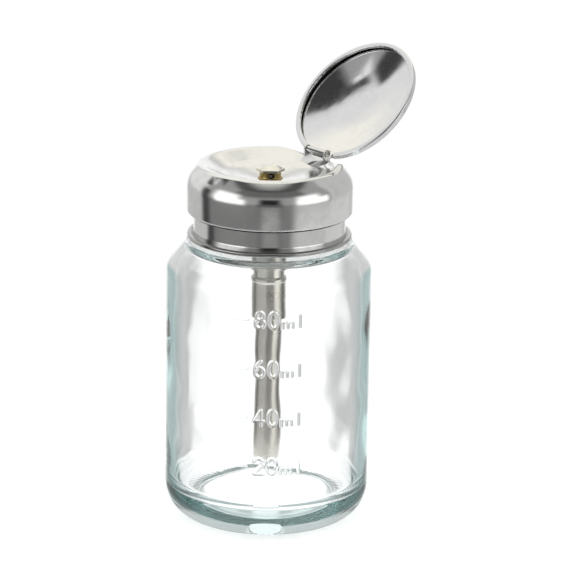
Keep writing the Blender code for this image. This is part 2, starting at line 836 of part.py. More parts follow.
def make_lid(parts, cutters):
    """The lid is made closed, with the hinge's axis through its own origin, and then opened."""
    hem_bottom = lid_lift - lid_hem_depth / 2
    hem_top = hem_bottom + lid_hem_depth
    wall_top = hem_bottom + lid_hem_depth + lid_wall_height
    pan_radius = lid_radius - lid_hem_width + lid_hem_undercut
    lip_radius = lid_radius - lid_hem_width
    knee_radius = lid_radius * lid_dome_knee_share
    knee_height = wall_top + lid_dome_rise * lid_dome_knee_rise_share
    corners = [
        (0, wall_top + lid_dome_rise, 0),
        (knee_radius, knee_height, knee_radius),
        (pan_radius + lid_sheet, wall_top, lid_corner_round + lid_sheet),
        (pan_radius + lid_sheet, hem_top, lid_hem_undercut),
        (lid_radius, hem_top, lid_hem_round),
        (lid_radius, hem_bottom, lid_hem_round),
        (lip_radius, hem_bottom, lid_hem_round),
        (lip_radius, hem_top, lid_hem_undercut / 2),
        (pan_radius, hem_top, lid_hem_undercut / 2),
        (pan_radius, wall_top - lid_sheet, lid_corner_round),
        (knee_radius, knee_height - lid_sheet, knee_radius),
        (0, wall_top + lid_dome_rise - lid_sheet, 0),
    ]
    lid = turned("lid_shell", corners, parts, closed=False)
    move_mesh(lid, Matrix.Translation((0, -lid_reach, 0)))
    half = knuckle_length / 2
    edge = lid_radius - lid_reach
    for side in (-1, 1):
        inner, outer = sorted((side * (half - seat_gap / 2), side * (pin_end + notch_side_gap)))
        notch = block(
            f"rim_notch_{side}",
            (inner, -notch_depth + edge, hem_bottom - overrun),
            (outer, edge + overrun, wall_top + overrun),
            cutters,
        )
        combine(lid, notch, "DIFFERENCE")
    inside = half - seat_gap
    tongue = block(
        "tongue",
        (-inside, -tongue_thickness / 2, 0),
        (inside, tongue_thickness / 2, lid_lift),
        cutters,
    )
    barrel = rod("barrel", knuckle_radius, -half, half, cutters)
    across_x(barrel, 0, 0)
    bore = rod("barrel_bore", knuckle_bore_radius, -half - overrun, half + overrun, cutters)
    across_x(bore, 0, 0)
    combine(lid, barrel, "UNION")
    combine(lid, tongue, "UNION")
    combine(lid, bore, "DIFFERENCE")
    lid.location = (0, hinge_reach, hinge_height)
    lid.rotation_euler.x = -lid_open_angle
    return lid


def main():
    clear_scene()
    parts = new_collection("glass_pump_dispenser")
    cutters = new_collection("cutters")

    glass = new_material("clear_glass", (0.93, 0.98, 0.97), 0.02, 0.0, transmission=1.0)
    polished = new_material("polished_steel", (0.78, 0.77, 0.75), 0.12, 1.0)
    satin = new_material("satin_steel", (0.62, 0.61, 0.59), 0.30, 1.0)
    brass = new_material("brass", (0.78, 0.68, 0.46), 0.22, 1.0)
    white_plastic = new_material("white_plastic", (0.85, 0.85, 0.83), 0.45, 0.0)
    seal_plastic = new_material("seal_plastic", (0.90, 0.90, 0.88), 0.55, 0.0)
    rubber = new_material("black_rubber", (0.05, 0.05, 0.05), 0.60, 0.0)

    finish(make_glass_bottle(parts, cutters), glass)
    finish(make_gasket(parts), seal_plastic)
    finish(make_thread_insert(parts, cutters), white_plastic)
    finish(make_collar(parts), polished)
    finish(make_cylinder(parts), satin)
    finish(make_nut(parts, cutters), satin)
    finish(make_guide(parts), white_plastic)
    finish(make_tube(parts), satin)
    seat, inlet_ball = make_inlet(parts)
    finish(seat, white_plastic)
    finish(inlet_ball, polished)
    finish(make_stem(parts), satin)
    piston, seal, outlet_ball = make_piston(parts)
    finish(piston, white_plastic)
    finish(seal, rubber)
    finish(outlet_ball, polished)
    finish(make_spring(parts), satin)
    finish(make_dish_washer(parts), seal_plastic)
    finish(make_bell(parts), polished)
    finish(make_nozzle_seal(parts), seal_plastic)
    finish(make_nozzle(parts, cutters), brass)
    finish(make_bracket(parts, cutters), polished)
    finish(make_pin(parts, cutters), satin)
    finish(make_lid(parts, cutters), polished)


main()
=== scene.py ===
# %% [markdown]
# # A glass pump dispenser bottle
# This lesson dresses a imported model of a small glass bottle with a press-down steel head.
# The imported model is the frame: it says where each piece is and what moves. Here each piece
# gets its finish, the pieces in sight get a finer shape, and the scene gets its light, floor
# and camera.

# %% Load the frame
import math

import bmesh
import bpy
from mathutils import Matrix, Vector


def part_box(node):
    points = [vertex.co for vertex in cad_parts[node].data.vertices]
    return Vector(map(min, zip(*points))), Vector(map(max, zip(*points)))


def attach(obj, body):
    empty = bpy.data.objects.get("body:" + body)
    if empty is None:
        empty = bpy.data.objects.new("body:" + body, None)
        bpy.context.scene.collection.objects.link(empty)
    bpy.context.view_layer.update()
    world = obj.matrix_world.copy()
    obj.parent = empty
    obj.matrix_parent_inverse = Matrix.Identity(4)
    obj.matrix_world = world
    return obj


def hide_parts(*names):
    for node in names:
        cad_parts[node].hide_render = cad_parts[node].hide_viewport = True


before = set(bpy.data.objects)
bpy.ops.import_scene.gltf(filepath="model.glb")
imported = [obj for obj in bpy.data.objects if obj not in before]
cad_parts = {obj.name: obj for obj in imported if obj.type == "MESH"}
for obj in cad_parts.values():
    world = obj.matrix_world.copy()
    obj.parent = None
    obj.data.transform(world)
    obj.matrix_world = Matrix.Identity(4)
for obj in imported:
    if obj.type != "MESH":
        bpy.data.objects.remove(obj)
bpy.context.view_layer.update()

# %% [markdown]
# Everything is in metres, so a millimetre gets a name of its own. The bottle's radius and
# the height of its neck are read from the frame, and the other sizes are written down once,
# beside the piece that they belong to. The volume marks nearly face the camera, and their
# direction, seen from above, is also the front of the studio that the metal reflects.

# %% Sizes that several pieces share
mm = 0.001
bottle_low, bottle_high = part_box("glass_bottle")
body_radius = (bottle_high.x - bottle_low.x) / 2
neck_top = bottle_high.z
marks_turn = math.radians(-41.0)
weld = 0.001 * mm
print(f"bottle radius {body_radius / mm:.1f} mm, neck top {neck_top / mm:.1f} mm")

# %% [markdown]
# Most of this object is turned or spun, so its pieces start as an outline: corners given by
# radius and height, each with the radius of its rounding. The helper replaces each rounded
# corner with a fine arc. A real toolmaker draws the same profile and gives it to the lathe.

# %% Outlines with rounded corners
arc_step = math.radians(6.0)
room_share = 0.49


def rounded(corners, closed=True):
    """Points of an outline whose corners (radius, height, rounding) are rounded off."""
    points = []
    count = len(corners)
    for index, (radius, height, rounding) in enumerate(corners):
        corner = Vector((radius, height))
        at_end = not closed and index in (0, count - 1)
        if at_end or rounding == 0:
            points.append(corner)
            continue
        before = Vector(corners[index - 1][:2]) - corner
        after = Vector(corners[(index + 1) % count][:2]) - corner
        turn = math.pi - before.angle(after)
        if turn < arc_step / 2:
            points.append(corner)
            continue
        reach = min(rounding * math.tan(turn / 2), room_share * min(before.length, after.length))
        fillet = reach / math.tan(turn / 2)
        bisector = (before.normalized() + after.normalized()).normalized()
        centre = corner + bisector * (fillet / math.cos(turn / 2))
        start = corner + before.normalized() * reach - centre
        side = 1.0 if before.x * after.y - before.y * after.x < 0 else -1.0
        steps = max(2, math.ceil(turn / arc_step))
        for step in range(steps + 1):
            swing = Matrix.Rotation(side * turn * step / steps, 2)
            points.append(centre + swing @ start)
    return points


# %% [markdown]
# A Screw modifier turns an outline about the Z axis. Its result is made a plain mesh, and so
# is every other modifier's result, because a finished piece should be a simple mesh that
# sits at the origin. Doubles at the seam are merged before the normals are made to point out.

# %% Turned pieces and plain meshes
def add_piece(name, mesh):
    """Put a mesh into the scene as an object at the origin."""
    piece = bpy.data.objects.new(name, mesh)
    bpy.context.scene.collection.objects.link(piece)
    return piece


def settle(piece):
    """Turn the piece's modifiers into plain geometry."""
    bpy.context.view_layer.update()
    graph = bpy.context.evaluated_depsgraph_get()
    mesh = bpy.data.meshes.new_from_object(piece.evaluated_get(graph))
    piece.modifiers.clear()
    piece.data = mesh
    return piece


def close_up(piece):
    """Merge doubled points and turn all faces outwards."""
    shape = bmesh.new()
    shape.from_mesh(piece.data)
    bmesh.ops.remove_doubles(shape, verts=shape.verts, dist=weld)
    bmesh.ops.recalc_face_normals(shape, faces=shape.faces)
    shape.to_mesh(piece.data)
    shape.free()


def turned(name, corners, segments, closed=True):
    """A piece turned from an outline of rounded corners."""
    points = rounded(corners, closed)
    edges = [(i, i + 1) for i in range(len(points) - 1)]
    if closed:
        edges.append((len(points) - 1, 0))
    mesh = bpy.data.meshes.new(name)
    mesh.from_pydata([(p.x, 0, p.y) for p in points], edges, [])
    piece = add_piece(name, mesh)
    screw = piece.modifiers.new("turn", "SCREW")
    screw.steps = segments
    screw.render_steps = segments
    settle(piece)
    close_up(piece)
    return piece


def shade(piece, sharp=32.0):
    """Smooth shading, with real corners left sharp."""
    piece.data.shade_smooth()
    piece.data.set_sharp_from_angle(angle=math.radians(sharp))
    return piece


def piece_from(name, shape):
    """A piece from a finished bmesh shape."""
    mesh = bpy.data.meshes.new(name)
    shape.to_mesh(mesh)
    shape.free()
    return add_piece(name, mesh)


# %% [markdown]
# Node trees are long to write by hand, so small helpers build them: one adds a node and fills
# its sockets, and others do a sum, a smooth step, a cloudy noise or a distance. A value may be
# a number, a colour or another node's socket. Shader and geometry trees share them.

# %% Helpers for node trees
def node(tree, kind, sockets=None, **settings):
    """Add a node, set its options, and fill or link the sockets that are named."""
    made = tree.nodes.new(kind)
    for name, value in settings.items():
        setattr(made, name, value)
    for name, value in (sockets or {}).items():
        if isinstance(value, bpy.types.NodeSocket):
            tree.links.new(value, made.inputs[name])
        else:
            made.inputs[name].default_value = value
    return made


def calc(tree, operation, first, second=0.0, third=0.0):
    """The result of one sum."""
    return node(tree, "ShaderNodeMath", {0: first, 1: second, 2: third}, operation=operation).outputs[0]


def ramp(tree, value, low, high, to_low=0.0, to_high=1.0):
    """Follow a value smoothly from one level to another."""
    limits = {"Value": value, "From Min": low, "From Max": high, "To Min": to_low, "To Max": to_high}
    return node(tree, "ShaderNodeMapRange", limits, interpolation_type="SMOOTHSTEP").outputs["Result"]


def noise(tree, place, scale, detail, roughness=0.5, seed=None, dimensions="3D"):
    """A cloudy value around 0.5. With a seed it is cut from a fourth dimension."""
    sockets = {"Vector": place, "Scale": scale, "Detail": detail, "Roughness": roughness}
    if seed is not None:
        dimensions = "4D"
        sockets["W"] = seed
    return node(tree, "ShaderNodeTexNoise", sockets, noise_dimensions=dimensions).outputs["Fac"]


def from_axis(tree, place):
    """How far a place is from the Z axis."""
    flat = node(tree, "ShaderNodeVectorMath", {0: place, 1: (1, 1, 0)}, operation="MULTIPLY")
    return node(tree, "ShaderNodeVectorMath", {0: flat.outputs[0]}, operation="LENGTH").outputs["Value"]


# %% [markdown]
# A node group is made once and placed in many trees. One helper makes a group with named
# inputs and outputs, and the other places it in a material and gives it values of its own.

# %% Helpers for node groups
def new_group(name, kind, inputs, outputs):
    """A node group with named sockets, and the nodes that stand for them inside it."""
    tree = bpy.data.node_groups.new(name, kind)
    for label, socket_type, value in inputs:
        socket = tree.interface.new_socket(label, in_out="INPUT", socket_type=socket_type)
        if value is not None:
            socket.default_value = value
    for label, socket_type in outputs:
        tree.interface.new_socket(label, in_out="OUTPUT", socket_type=socket_type)
    return tree, tree.nodes.new("NodeGroupInput"), tree.nodes.new("NodeGroupOutput")


def placed(tree, group, **sockets):
    """Place a shader node group in a material and give it its own values."""
    made = tree.nodes.new("ShaderNodeGroup")
    made.node_tree = group
    for name, value in sockets.items():
        socket = made.inputs[name.replace("_", " ")]
        if isinstance(value, bpy.types.NodeSocket):
            tree.links.new(value, socket)
        else:
            socket.default_value = value
    return made


# %% [markdown]
# ## Shared surface effects
# Polished steel is never quite even. Hands leave dull smudges, cloths leave hair scratches,
# and the spinning tool leaves fine rings. Each of these is one shader node group that gives
# out a mask or a height, so that every material can use it with its own strength.

# %% Smudges, scratches and turning lines
FLOAT = "NodeSocketFloat"
noise_middle = 0.5
scratch_turns = ((0.3, 0.2, 0.5), (1.1, 0.7, 2.1))
scratch_stretch = (1.0, 0.03, 0.6)
scratch_start = 0.62
scratch_full = 0.72


def object_place(tree):
    """The place on the piece, which moves with it."""
    return node(tree, "ShaderNodeTexCoord").outputs["Object"]


def make_smudges():
    """Soft cloudy patches, as a mask from 0 to 1."""
    inputs = [("Scale", FLOAT, 60.0), ("Spread", FLOAT, 0.2)]
    tree, inside, out = new_group("smudges", "ShaderNodeTree", inputs, [("Mask", FLOAT)])
    cloud = noise(tree, object_place(tree), inside.outputs["Scale"], detail=4.0, roughness=0.6)
    low = calc(tree, "SUBTRACT", noise_middle, inside.outputs["Spread"])
    high = calc(tree, "ADD", noise_middle, inside.outputs["Spread"])
    tree.links.new(ramp(tree, cloud, low, high), out.inputs["Mask"])
    return tree


def make_hair_scratches():
    """Thin straight scratches in two directions, as a height from 0 to 1."""
    inputs = [("Scale", FLOAT, 300.0)]
    tree, inside, out = new_group("hair_scratches", "ShaderNodeTree", inputs, [("Height", FLOAT)])
    place = object_place(tree)
    heights = []
    for turn in scratch_turns:
        sockets = {"Vector": place, "Rotation": turn, "Scale": scratch_stretch}
        aside = node(tree, "ShaderNodeMapping", sockets).outputs[0]
        lines = noise(tree, aside, inside.outputs["Scale"], detail=2.0, roughness=0.7)
        heights.append(ramp(tree, lines, scratch_start, scratch_full))
    tree.links.new(calc(tree, "ADD", heights[0], heights[1]), out.inputs["Height"])
    return tree


def make_turning_lines():
    """Fine rings round the Z axis, as a height from 0 to 1."""
    inputs = [("Lines per metre", FLOAT, 9000.0)]
    tree, inside, out = new_group("turning_lines", "ShaderNodeTree", inputs, [("Height", FLOAT)])
    place = object_place(tree)
    apart = node(tree, "ShaderNodeSeparateXYZ", {0: place})
    along = node(tree, "ShaderNodeCombineXYZ", {0: from_axis(tree, place), 1: apart.outputs[2]})
    rings = noise(tree, along.outputs[0], inside.outputs[0], detail=1.0, dimensions="2D")
    tree.links.new(rings, out.inputs["Height"])
    return tree


smudges = make_smudges()
hair_scratches = make_hair_scratches()
turning_lines = make_turning_lines()
print("shared effects:", smudges.name, hair_scratches.name, turning_lines.name)

# %% [markdown]
# ## The finishes
# The head is pressed stainless sheet, polished but still a little soft in its reflections.
# Its roughness rises in the smudges, and a very shallow bump carries the rings and the
# scratches. The lid is nobody's handle, so it has kept the sharpest polish. The rolled foot of
# the collar is rougher, and its much darker colour is a painted shade that dims its
# reflections. The tubes are drawn, so their lines run lengthwise.

# %% Polished and satin steel
smudge_roughness = 0.05
scratch_share = 0.35
polish_relief = 0.004 * mm
drawn_stretch = (1.0, 1.0, 0.02)
haze_roughness = 0.10
turned_relief = 0.01 * mm


def new_material(name):
    """A material with only its Principled shader left in it."""
    material = bpy.data.materials.new(name)
    material.use_nodes = True
    tree = material.node_tree
    shader = tree.nodes["Principled BSDF"]
    return material, tree, shader


def bumped(tree, height, strength, distance):
    """A normal from a height."""
    bump = node(tree, "ShaderNodeBump", {"Height": height, "Strength": strength, "Distance": distance})
    return bump.outputs["Normal"]


def blended(tree, mask, first, second):
    """A colour between two others."""
    mix = node(tree, "ShaderNodeMix", {"Factor": mask, "A": first, "B": second}, data_type="RGBA")
    return mix.outputs["Result"]


def make_polished_steel(name, bright, dull, roughness, ring_strength):
    """Spun and polished stainless sheet."""
    material, tree, shader = new_material(name)
    haze = placed(tree, smudges, Scale=70.0, Spread=0.22).outputs["Mask"]
    grease = placed(tree, smudges, Scale=420.0, Spread=0.12).outputs["Mask"]
    marks = calc(tree, "MULTIPLY", haze, grease)
    rough = calc(tree, "MULTIPLY_ADD", marks, smudge_roughness, roughness)
    lines = placed(tree, turning_lines, Lines_per_metre=5200.0).outputs["Height"]
    scratches = placed(tree, hair_scratches, Scale=260.0).outputs["Height"]
    height = calc(tree, "MULTIPLY_ADD", scratches, scratch_share, lines)
    tree.links.new(blended(tree, marks, bright, dull), shader.inputs["Base Color"])
    tree.links.new(rough, shader.inputs["Roughness"])
    tree.links.new(bumped(tree, height, ring_strength, polish_relief), shader.inputs["Normal"])
    shader.inputs["Metallic"].default_value = 1.0
    return material


def make_drawn_steel(name, bright, dull, roughness):
    """Drawn tube, with fine lines along it."""
    material, tree, shader = new_material(name)
    stretched = node(tree, "ShaderNodeMapping", {"Vector": object_place(tree), "Scale": drawn_stretch})
    lines = noise(tree, stretched.outputs[0], 2600.0, detail=3.0)
    haze = placed(tree, smudges, Scale=110.0, Spread=0.25).outputs["Mask"]
    rough = calc(tree, "MULTIPLY_ADD", haze, haze_roughness, roughness)
    tree.links.new(blended(tree, haze, bright, dull), shader.inputs["Base Color"])
    tree.links.new(rough, shader.inputs["Roughness"])
    tree.links.new(bumped(tree, lines, strength=0.35, distance=turned_relief), shader.inputs["Normal"])
    shader.inputs["Metallic"].default_value = 1.0
    return material


def finish_where(piece, finish, chosen):
    """Give a second finish to the faces whose centre passes a test."""
    piece.data.materials.append(finish)
    last_slot = len(piece.data.materials) - 1
    for face in piece.data.polygons:
        if chosen(face.center):
            face.material_index = last_slot


polished_steel = make_polished_steel(
    "polished_steel", (0.79, 0.79, 0.78, 1), (0.72, 0.72, 0.71, 1), roughness=0.12, ring_strength=0.22
)
mirror_steel = make_polished_steel(
    "mirror_steel", (0.79, 0.79, 0.79, 1), (0.73, 0.73, 0.73, 1), roughness=0.07, ring_strength=0.15
)
# The collar's rolled foot: a little rougher, and darker in colour, which is a painted shade
rolled_steel = make_polished_steel(
    "rolled_steel", (0.44, 0.44, 0.43, 1), (0.36, 0.36, 0.35, 1), roughness=0.16, ring_strength=0.2
)
satin_steel = make_drawn_steel("satin_steel", (0.74, 0.72, 0.67, 1), (0.62, 0.60, 0.55, 1), roughness=0.24)
print("steel finishes:", polished_steel.name, mirror_steel.name, rolled_steel.name, satin_steel.name)

# %% [markdown]
# The nozzle is turned brass under a thin wash of nickel. The wash covers the flat hexagon
# but has worn thin on the column, where the brass shows darker and yellower. The mask is a
# height on the piece, broken up by noise so that its edge isn't a ruled line. Near the axis,
# where the hole leads in, the metal is coloured near black: a painted shade of the hole.

# %% Brass with a worn nickel wash
wash_height = 86.6 * mm
wash_blur = 0.5 * mm
wash_ragged = 0.6 * mm
hole_dark = 2.3 * mm
hole_light = 2.5 * mm
hole_shade_colour = (0.02, 0.018, 0.012, 1)
brass_clean = (0.62, 0.47, 0.17, 1)
brass_tarnished = (0.30, 0.23, 0.09, 1)
nickel_clean = (0.86, 0.84, 0.77, 1)
nickel_tarnished = (0.74, 0.72, 0.64, 1)
brass_roughness = (0.18, 0.32)


def make_washed_brass():
    """Brass below, nickel above, with a ragged border between them."""
    material, tree, shader = new_material("washed_brass")
    place = object_place(tree)
    apart = node(tree, "ShaderNodeSeparateXYZ", {0: place})
    speckle = noise(tree, place, 900.0, detail=4.0)
    shift = calc(tree, "MULTIPLY_ADD", speckle, 2 * wash_ragged, -wash_ragged)
    level = calc(tree, "ADD", apart.outputs[2], shift)
    wash = ramp(tree, level, wash_height - wash_blur, wash_height + wash_blur)
    tarnish = placed(tree, smudges, Scale=500.0, Spread=0.25).outputs["Mask"]
    column = blended(tree, tarnish, brass_clean, brass_tarnished)
    nickel = blended(tree, tarnish, nickel_clean, nickel_tarnished)
    metal = blended(tree, wash, column, nickel)
    # Painted shade: near the axis, in and round the hole, the colour goes near black
    outside_hole_shade = calc(tree, "MAXIMUM", wash, ramp(tree, from_axis(tree, place), hole_dark, hole_light))
    tree.links.new(blended(tree, outside_hole_shade, hole_shade_colour, metal), shader.inputs["Base Color"])
    tree.links.new(ramp(tree, tarnish, 0.0, 1.0, *brass_roughness), shader.inputs["Roughness"])
    lines = placed(tree, turning_lines, Lines_per_metre=9000.0).outputs["Height"]
    tree.links.new(bumped(tree, lines, strength=0.5, distance=turned_relief), shader.inputs["Normal"])
    shader.inputs["Metallic"].default_value = 1.0
    return material


washed_brass = make_washed_brass()
print("brass finish:", washed_brass.name)

# %% [markdown]
# Plastic and rubber parts hide inside the head, where at most a look through the glass finds
# them. They get a faint moulded grain and a colour that drifts a little. The same function
# makes a near-black painted shade for the folds of the steel, where shade falls.

# %% Moulded plastics, rubber and the painted shade in the folds
grain_roughness = 0.08
grain_relief = 0.02 * mm


def make_moulded(name, colour, shade_of_it, roughness, grain):
    """Moulded plastic or rubber with a fine grain."""
    material, tree, shader = new_material(name)
    speckle = noise(tree, object_place(tree), 1500.0, detail=5.0)
    cloud = placed(tree, smudges, Scale=150.0, Spread=0.3).outputs["Mask"]
    rough = ramp(tree, cloud, 0.0, 1.0, roughness, roughness + grain_roughness)
    tree.links.new(blended(tree, cloud, colour, shade_of_it), shader.inputs["Base Color"])
    tree.links.new(rough, shader.inputs["Roughness"])
    tree.links.new(bumped(tree, speckle, grain, grain_relief), shader.inputs["Normal"])
    return material


white_plastic = make_moulded(
    "white_plastic", (0.84, 0.84, 0.82, 1), (0.78, 0.78, 0.75, 1), roughness=0.40, grain=0.3
)
seal_plastic = make_moulded(
    "seal_plastic", (0.88, 0.88, 0.85, 1), (0.80, 0.80, 0.76, 1), roughness=0.52, grain=0.3
)
black_rubber = make_moulded(
    "black_rubber", (0.045, 0.045, 0.047, 1), (0.03, 0.03, 0.03, 1), roughness=0.55, grain=0.6
)
# A near-black finish that paints shade into the folds and curls of the steel
black_film = make_moulded(
    "black_film", (0.022, 0.021, 0.018, 1), (0.012, 0.012, 0.010, 1), roughness=0.70, grain=0.4
)
black_film.node_tree.nodes["Principled BSDF"].inputs["Specular IOR Level"].default_value = 0.1
print("moulded finishes:", white_plastic.name, seal_plastic.name, black_rubber.name, black_film.name)

# %% [markdown]
# Soda-lime glass is clear face on and blue-green edge on, because light goes a long way
# through it there. So most of its colour is an absorption inside the glass. A tint on the
# outer wall, where it turns away from the eye, adds the light that a real room would send
# round inside the wall. A lamp's ray sees plain transparency instead, as real glass lets lamp
# light pass and a path tracer would otherwise leave a black shadow below the bottle.

# %% The tint of the edges and the ribs of the foot
tint_start = 0.42
tint_full = 0.66
tint_colour = (0.34, 0.59, 0.58, 1)
skin_start = 0.6 * mm
skin_full = 0.2 * mm
foot_ribs = 96.0
ribs_full = 0.1 * mm
ribs_end = 0.5 * mm
rib_ring_start = 16.6 * mm
rib_ring_full = 17.0 * mm


def edge_tint(tree, radius):
    """White face on, blue-green where the outer wall turns away from the eye."""
    facing = node(tree, "ShaderNodeLayerWeight", {"Blend": 0.5}).outputs["Facing"]
    turned_away = ramp(tree, facing, tint_start, tint_full)
    on_wall = ramp(tree, radius, body_radius - skin_start, body_radius - skin_full)
    mask = calc(tree, "MULTIPLY", turned_away, on_wall)
    return blended(tree, mask, (1, 1, 1, 1), tint_colour)


def knurled_foot(tree, apart, radius):
    """A ring of small ribs on the foot, as a height."""
    angle = calc(tree, "ARCTAN2", apart.outputs[1], apart.outputs[0])
    ribs = calc(tree, "SINE", calc(tree, "MULTIPLY", angle, foot_ribs))
    low = ramp(tree, apart.outputs[2], ribs_full, ribs_end, 1.0, 0.0)
    on_ring = calc(tree, "MULTIPLY", low, ramp(tree, radius, rib_ring_start, rib_ring_full))
    return calc(tree, "MULTIPLY", ribs, on_ring)


# %% [markdown]
# The material puts these together. Its surface is a little uneven, as moulded glass is, and
# the ribs of the foot stand out of the same height map.

# %% Glass that tints with thickness
glass_bend = 1.50
rib_share = 3.0
glass_relief = 0.03 * mm
shadow_tint = (0.97, 0.985, 0.98, 1)
body_tint = (0.0, 0.62, 0.60, 1)
body_density = 4.5


def make_glass():
    """Clear glass with an absorbing body and a faintly uneven surface."""
    material, tree, shader = new_material("soda_lime_glass")
    shader.inputs["Transmission Weight"].default_value = 1.0
    shader.inputs["Roughness"].default_value = 0.0
    shader.inputs["IOR"].default_value = glass_bend
    place = object_place(tree)
    apart = node(tree, "ShaderNodeSeparateXYZ", {0: place})
    radius = from_axis(tree, place)
    tree.links.new(edge_tint(tree, radius), shader.inputs["Base Color"])
    ripple = noise(tree, place, 220.0, detail=2.0)
    height = calc(tree, "MULTIPLY_ADD", knurled_foot(tree, apart, radius), rib_share, ripple)
    tree.links.new(bumped(tree, height, strength=0.25, distance=glass_relief), shader.inputs["Normal"])
    path = node(tree, "ShaderNodeLightPath")
    clear = node(tree, "ShaderNodeBsdfTransparent", {"Color": shadow_tint})
    through = node(tree, "ShaderNodeMixShader", {0: path.outputs["Is Shadow Ray"]})
    tree.links.new(shader.outputs[0], through.inputs[1])
    tree.links.new(clear.outputs[0], through.inputs[2])
    tint = node(tree, "ShaderNodeVolumeAbsorption", {"Color": body_tint, "Density": body_density})
    output = tree.nodes["Material Output"]
    tree.links.new(through.outputs[0], output.inputs["Surface"])
    tree.links.new(tint.outputs[0], output.inputs["Volume"])
    return material


glass = make_glass()
print("glass finish:", glass.name)

# %% [markdown]
# ## The bottle
# The bottle is blown in a two-part mould: a straight wall, a thick base with a rounded heel,
# a sloping shoulder, a small ledge and a neck. It could be one Screw modifier, but the raised
# marks need a much finer grid than the rest, so the outline is turned through a list of
# angles that are close together only where the marks are. The edges of each line of marks are
# points of the outline, so that the fine rows start and end exactly there.

# %% The bottle's outline
glass_wall = 2.2 * mm
floor_height = 6.8 * mm
shoulder_height = 63.7 * mm
shoulder_angle = math.radians(41.0)
shoulder_slope = math.tan(shoulder_angle)
ledge_height = 69.2 * mm
ledge_rise = 0.5 * mm
neck_radius = 16.0 * mm
neck_bore = 13.0 * mm
heel_width = 6.5 * mm
heel_height = 8.0 * mm
foot_ring = 1.6 * mm
base_recess = 0.4 * mm
lip_round = 0.6 * mm
ledge_round = 1.5 * mm
shoulder_round = 5.2 * mm
floor_round = 4.0 * mm
heel_rows = 56
first_mark = 19.6 * mm
mark_spacing = 12.23 * mm
mark_labels = ("20", "40", "60", "80")
mark_band = 2.6 * mm


def heel_curve():
    """The heel's outline from the wall down to the foot, a quarter of an ellipse."""
    points = []
    for row in range(heel_rows + 1):
        swing = math.pi / 2 * row / heel_rows
        inward = heel_width * (1 - math.cos(swing))
        points.append((body_radius - inward, heel_height * (1 - math.sin(swing)), 0))
    return points


def mark_edges():
    """The upper and lower edge of each line of marks, from the top one down."""
    edges = []
    for line in reversed(range(len(mark_labels))):
        middle = first_mark + line * mark_spacing
        edges += [(body_radius, middle + mark_band, 0), (body_radius, middle - mark_band, 0)]
    return edges


def bottle_outline():
    """From the middle of the floor up inside, over the lip, down outside and under the foot."""
    inner = body_radius - glass_wall
    inner_shoulder = shoulder_height - glass_wall * math.tan(shoulder_angle / 2)
    inner_ledge = ledge_height - glass_wall
    recess = body_radius - heel_width - foot_ring
    corners = [
        (0, floor_height, 0),
        (inner, floor_height, floor_round),
        (inner, inner_shoulder, shoulder_round),
        (inner - (inner_ledge - inner_shoulder) * shoulder_slope, inner_ledge, ledge_round),
        (neck_bore, inner_ledge + ledge_rise, ledge_round),
        (neck_bore, neck_top, lip_round),
        (neck_radius, neck_top, lip_round),
        (neck_radius, ledge_height + ledge_rise, lip_round),
        (body_radius - (ledge_height - shoulder_height) * shoulder_slope, ledge_height, ledge_round),
        (body_radius, shoulder_height, shoulder_round),
        *mark_edges(),
        *heel_curve(),
        (recess, 0, 0),
        (recess - base_recess, base_recess, 0),
        (0, base_recess, 0),
    ]
    return rounded(corners, closed=False)


# %% [markdown]
# Rows of points go in where they are needed: every 0.14 mm across each line of marks, and
# every 1.5 mm along the rest of the wall, which only has to carry the gentle waves that
# blowing leaves. The heel already has close rows, for the small stop pressed into it.

# %% Rows and columns of the bottle's grid
close_step = 0.14 * mm
wall_step = 1.5 * mm
marks_left = -11.6 * mm
marks_right = 9.0 * mm
wide_turn = math.radians(3.0)


def step_at(point):
    """How far apart the rows are at this place on the outline."""
    on_outside = point.x > body_radius - glass_wall / 2
    for line in range(len(mark_labels)):
        if on_outside and abs(point.y - first_mark - line * mark_spacing) < mark_band:
            return close_step
    return wall_step


def with_rows(outline):
    """The outline with rows added along its long straight runs."""
    points = [outline[0]]
    for start, end in zip(outline, outline[1:]):
        count = max(1, round((end - start).length / step_at((start + end) / 2)))
        points += [start.lerp(end, row / count) for row in range(1, count + 1)]
    return points


def marked_angles():
    """Angles of the columns, close together across the marks."""
    angles = []
    angle = marks_turn + marks_left / body_radius
    last = angle + math.tau - wide_turn / 2
    while angle < last:
        angles.append(angle)
        in_marks = angle < marks_turn + marks_right / body_radius
        angle += close_step / body_radius if in_marks else wide_turn
    return angles


def lathe(name, outline, angles):
    """Turn an outline about Z through a list of angles, and close it up."""
    shape = bmesh.new()
    columns = []
    for angle in angles:
        cos, sin = math.cos(angle), math.sin(angle)
        columns.append([shape.verts.new((p.x * cos, p.x * sin, p.y)) for p in outline])
    for column, following in zip(columns, columns[1:] + columns[:1]):
        for corner in range(len(outline) - 1):
            shape.faces.new((column[corner], column[corner + 1], following[corner + 1], following[corner]))
    piece = piece_from(name, shape)
    close_up(piece)
    return piece


rows = with_rows(bottle_outline())
columns = marked_angles()
bottle = lathe("bottle", rows, columns)
print(f"bottle grid: {len(rows)} rows, {len(columns)} columns, {len(bottle.data.polygons)} faces")

# %% [markdown]
# The stop in the heel turns the bottle the right way round in a labelling machine. It is a
# shallow flat cut by the mould, facing down and out at 45 degrees, so each point of the heel
# that stands proud of that flat is moved down onto it. The screw thread on the neck is a
# half-round bead that climbs one pitch for each turn and fades out at both ends.

# %% Heel stop and neck thread
stop_radius = 3.9 * mm
stop_depth = 0.7 * mm
thread_pitch = 3.0 * mm
thread_turns = 1.1
thread_bead = 0.8 * mm
thread_start = 1.3 * mm
thread_fade = 0.15
neck_margin = 0.05 * mm


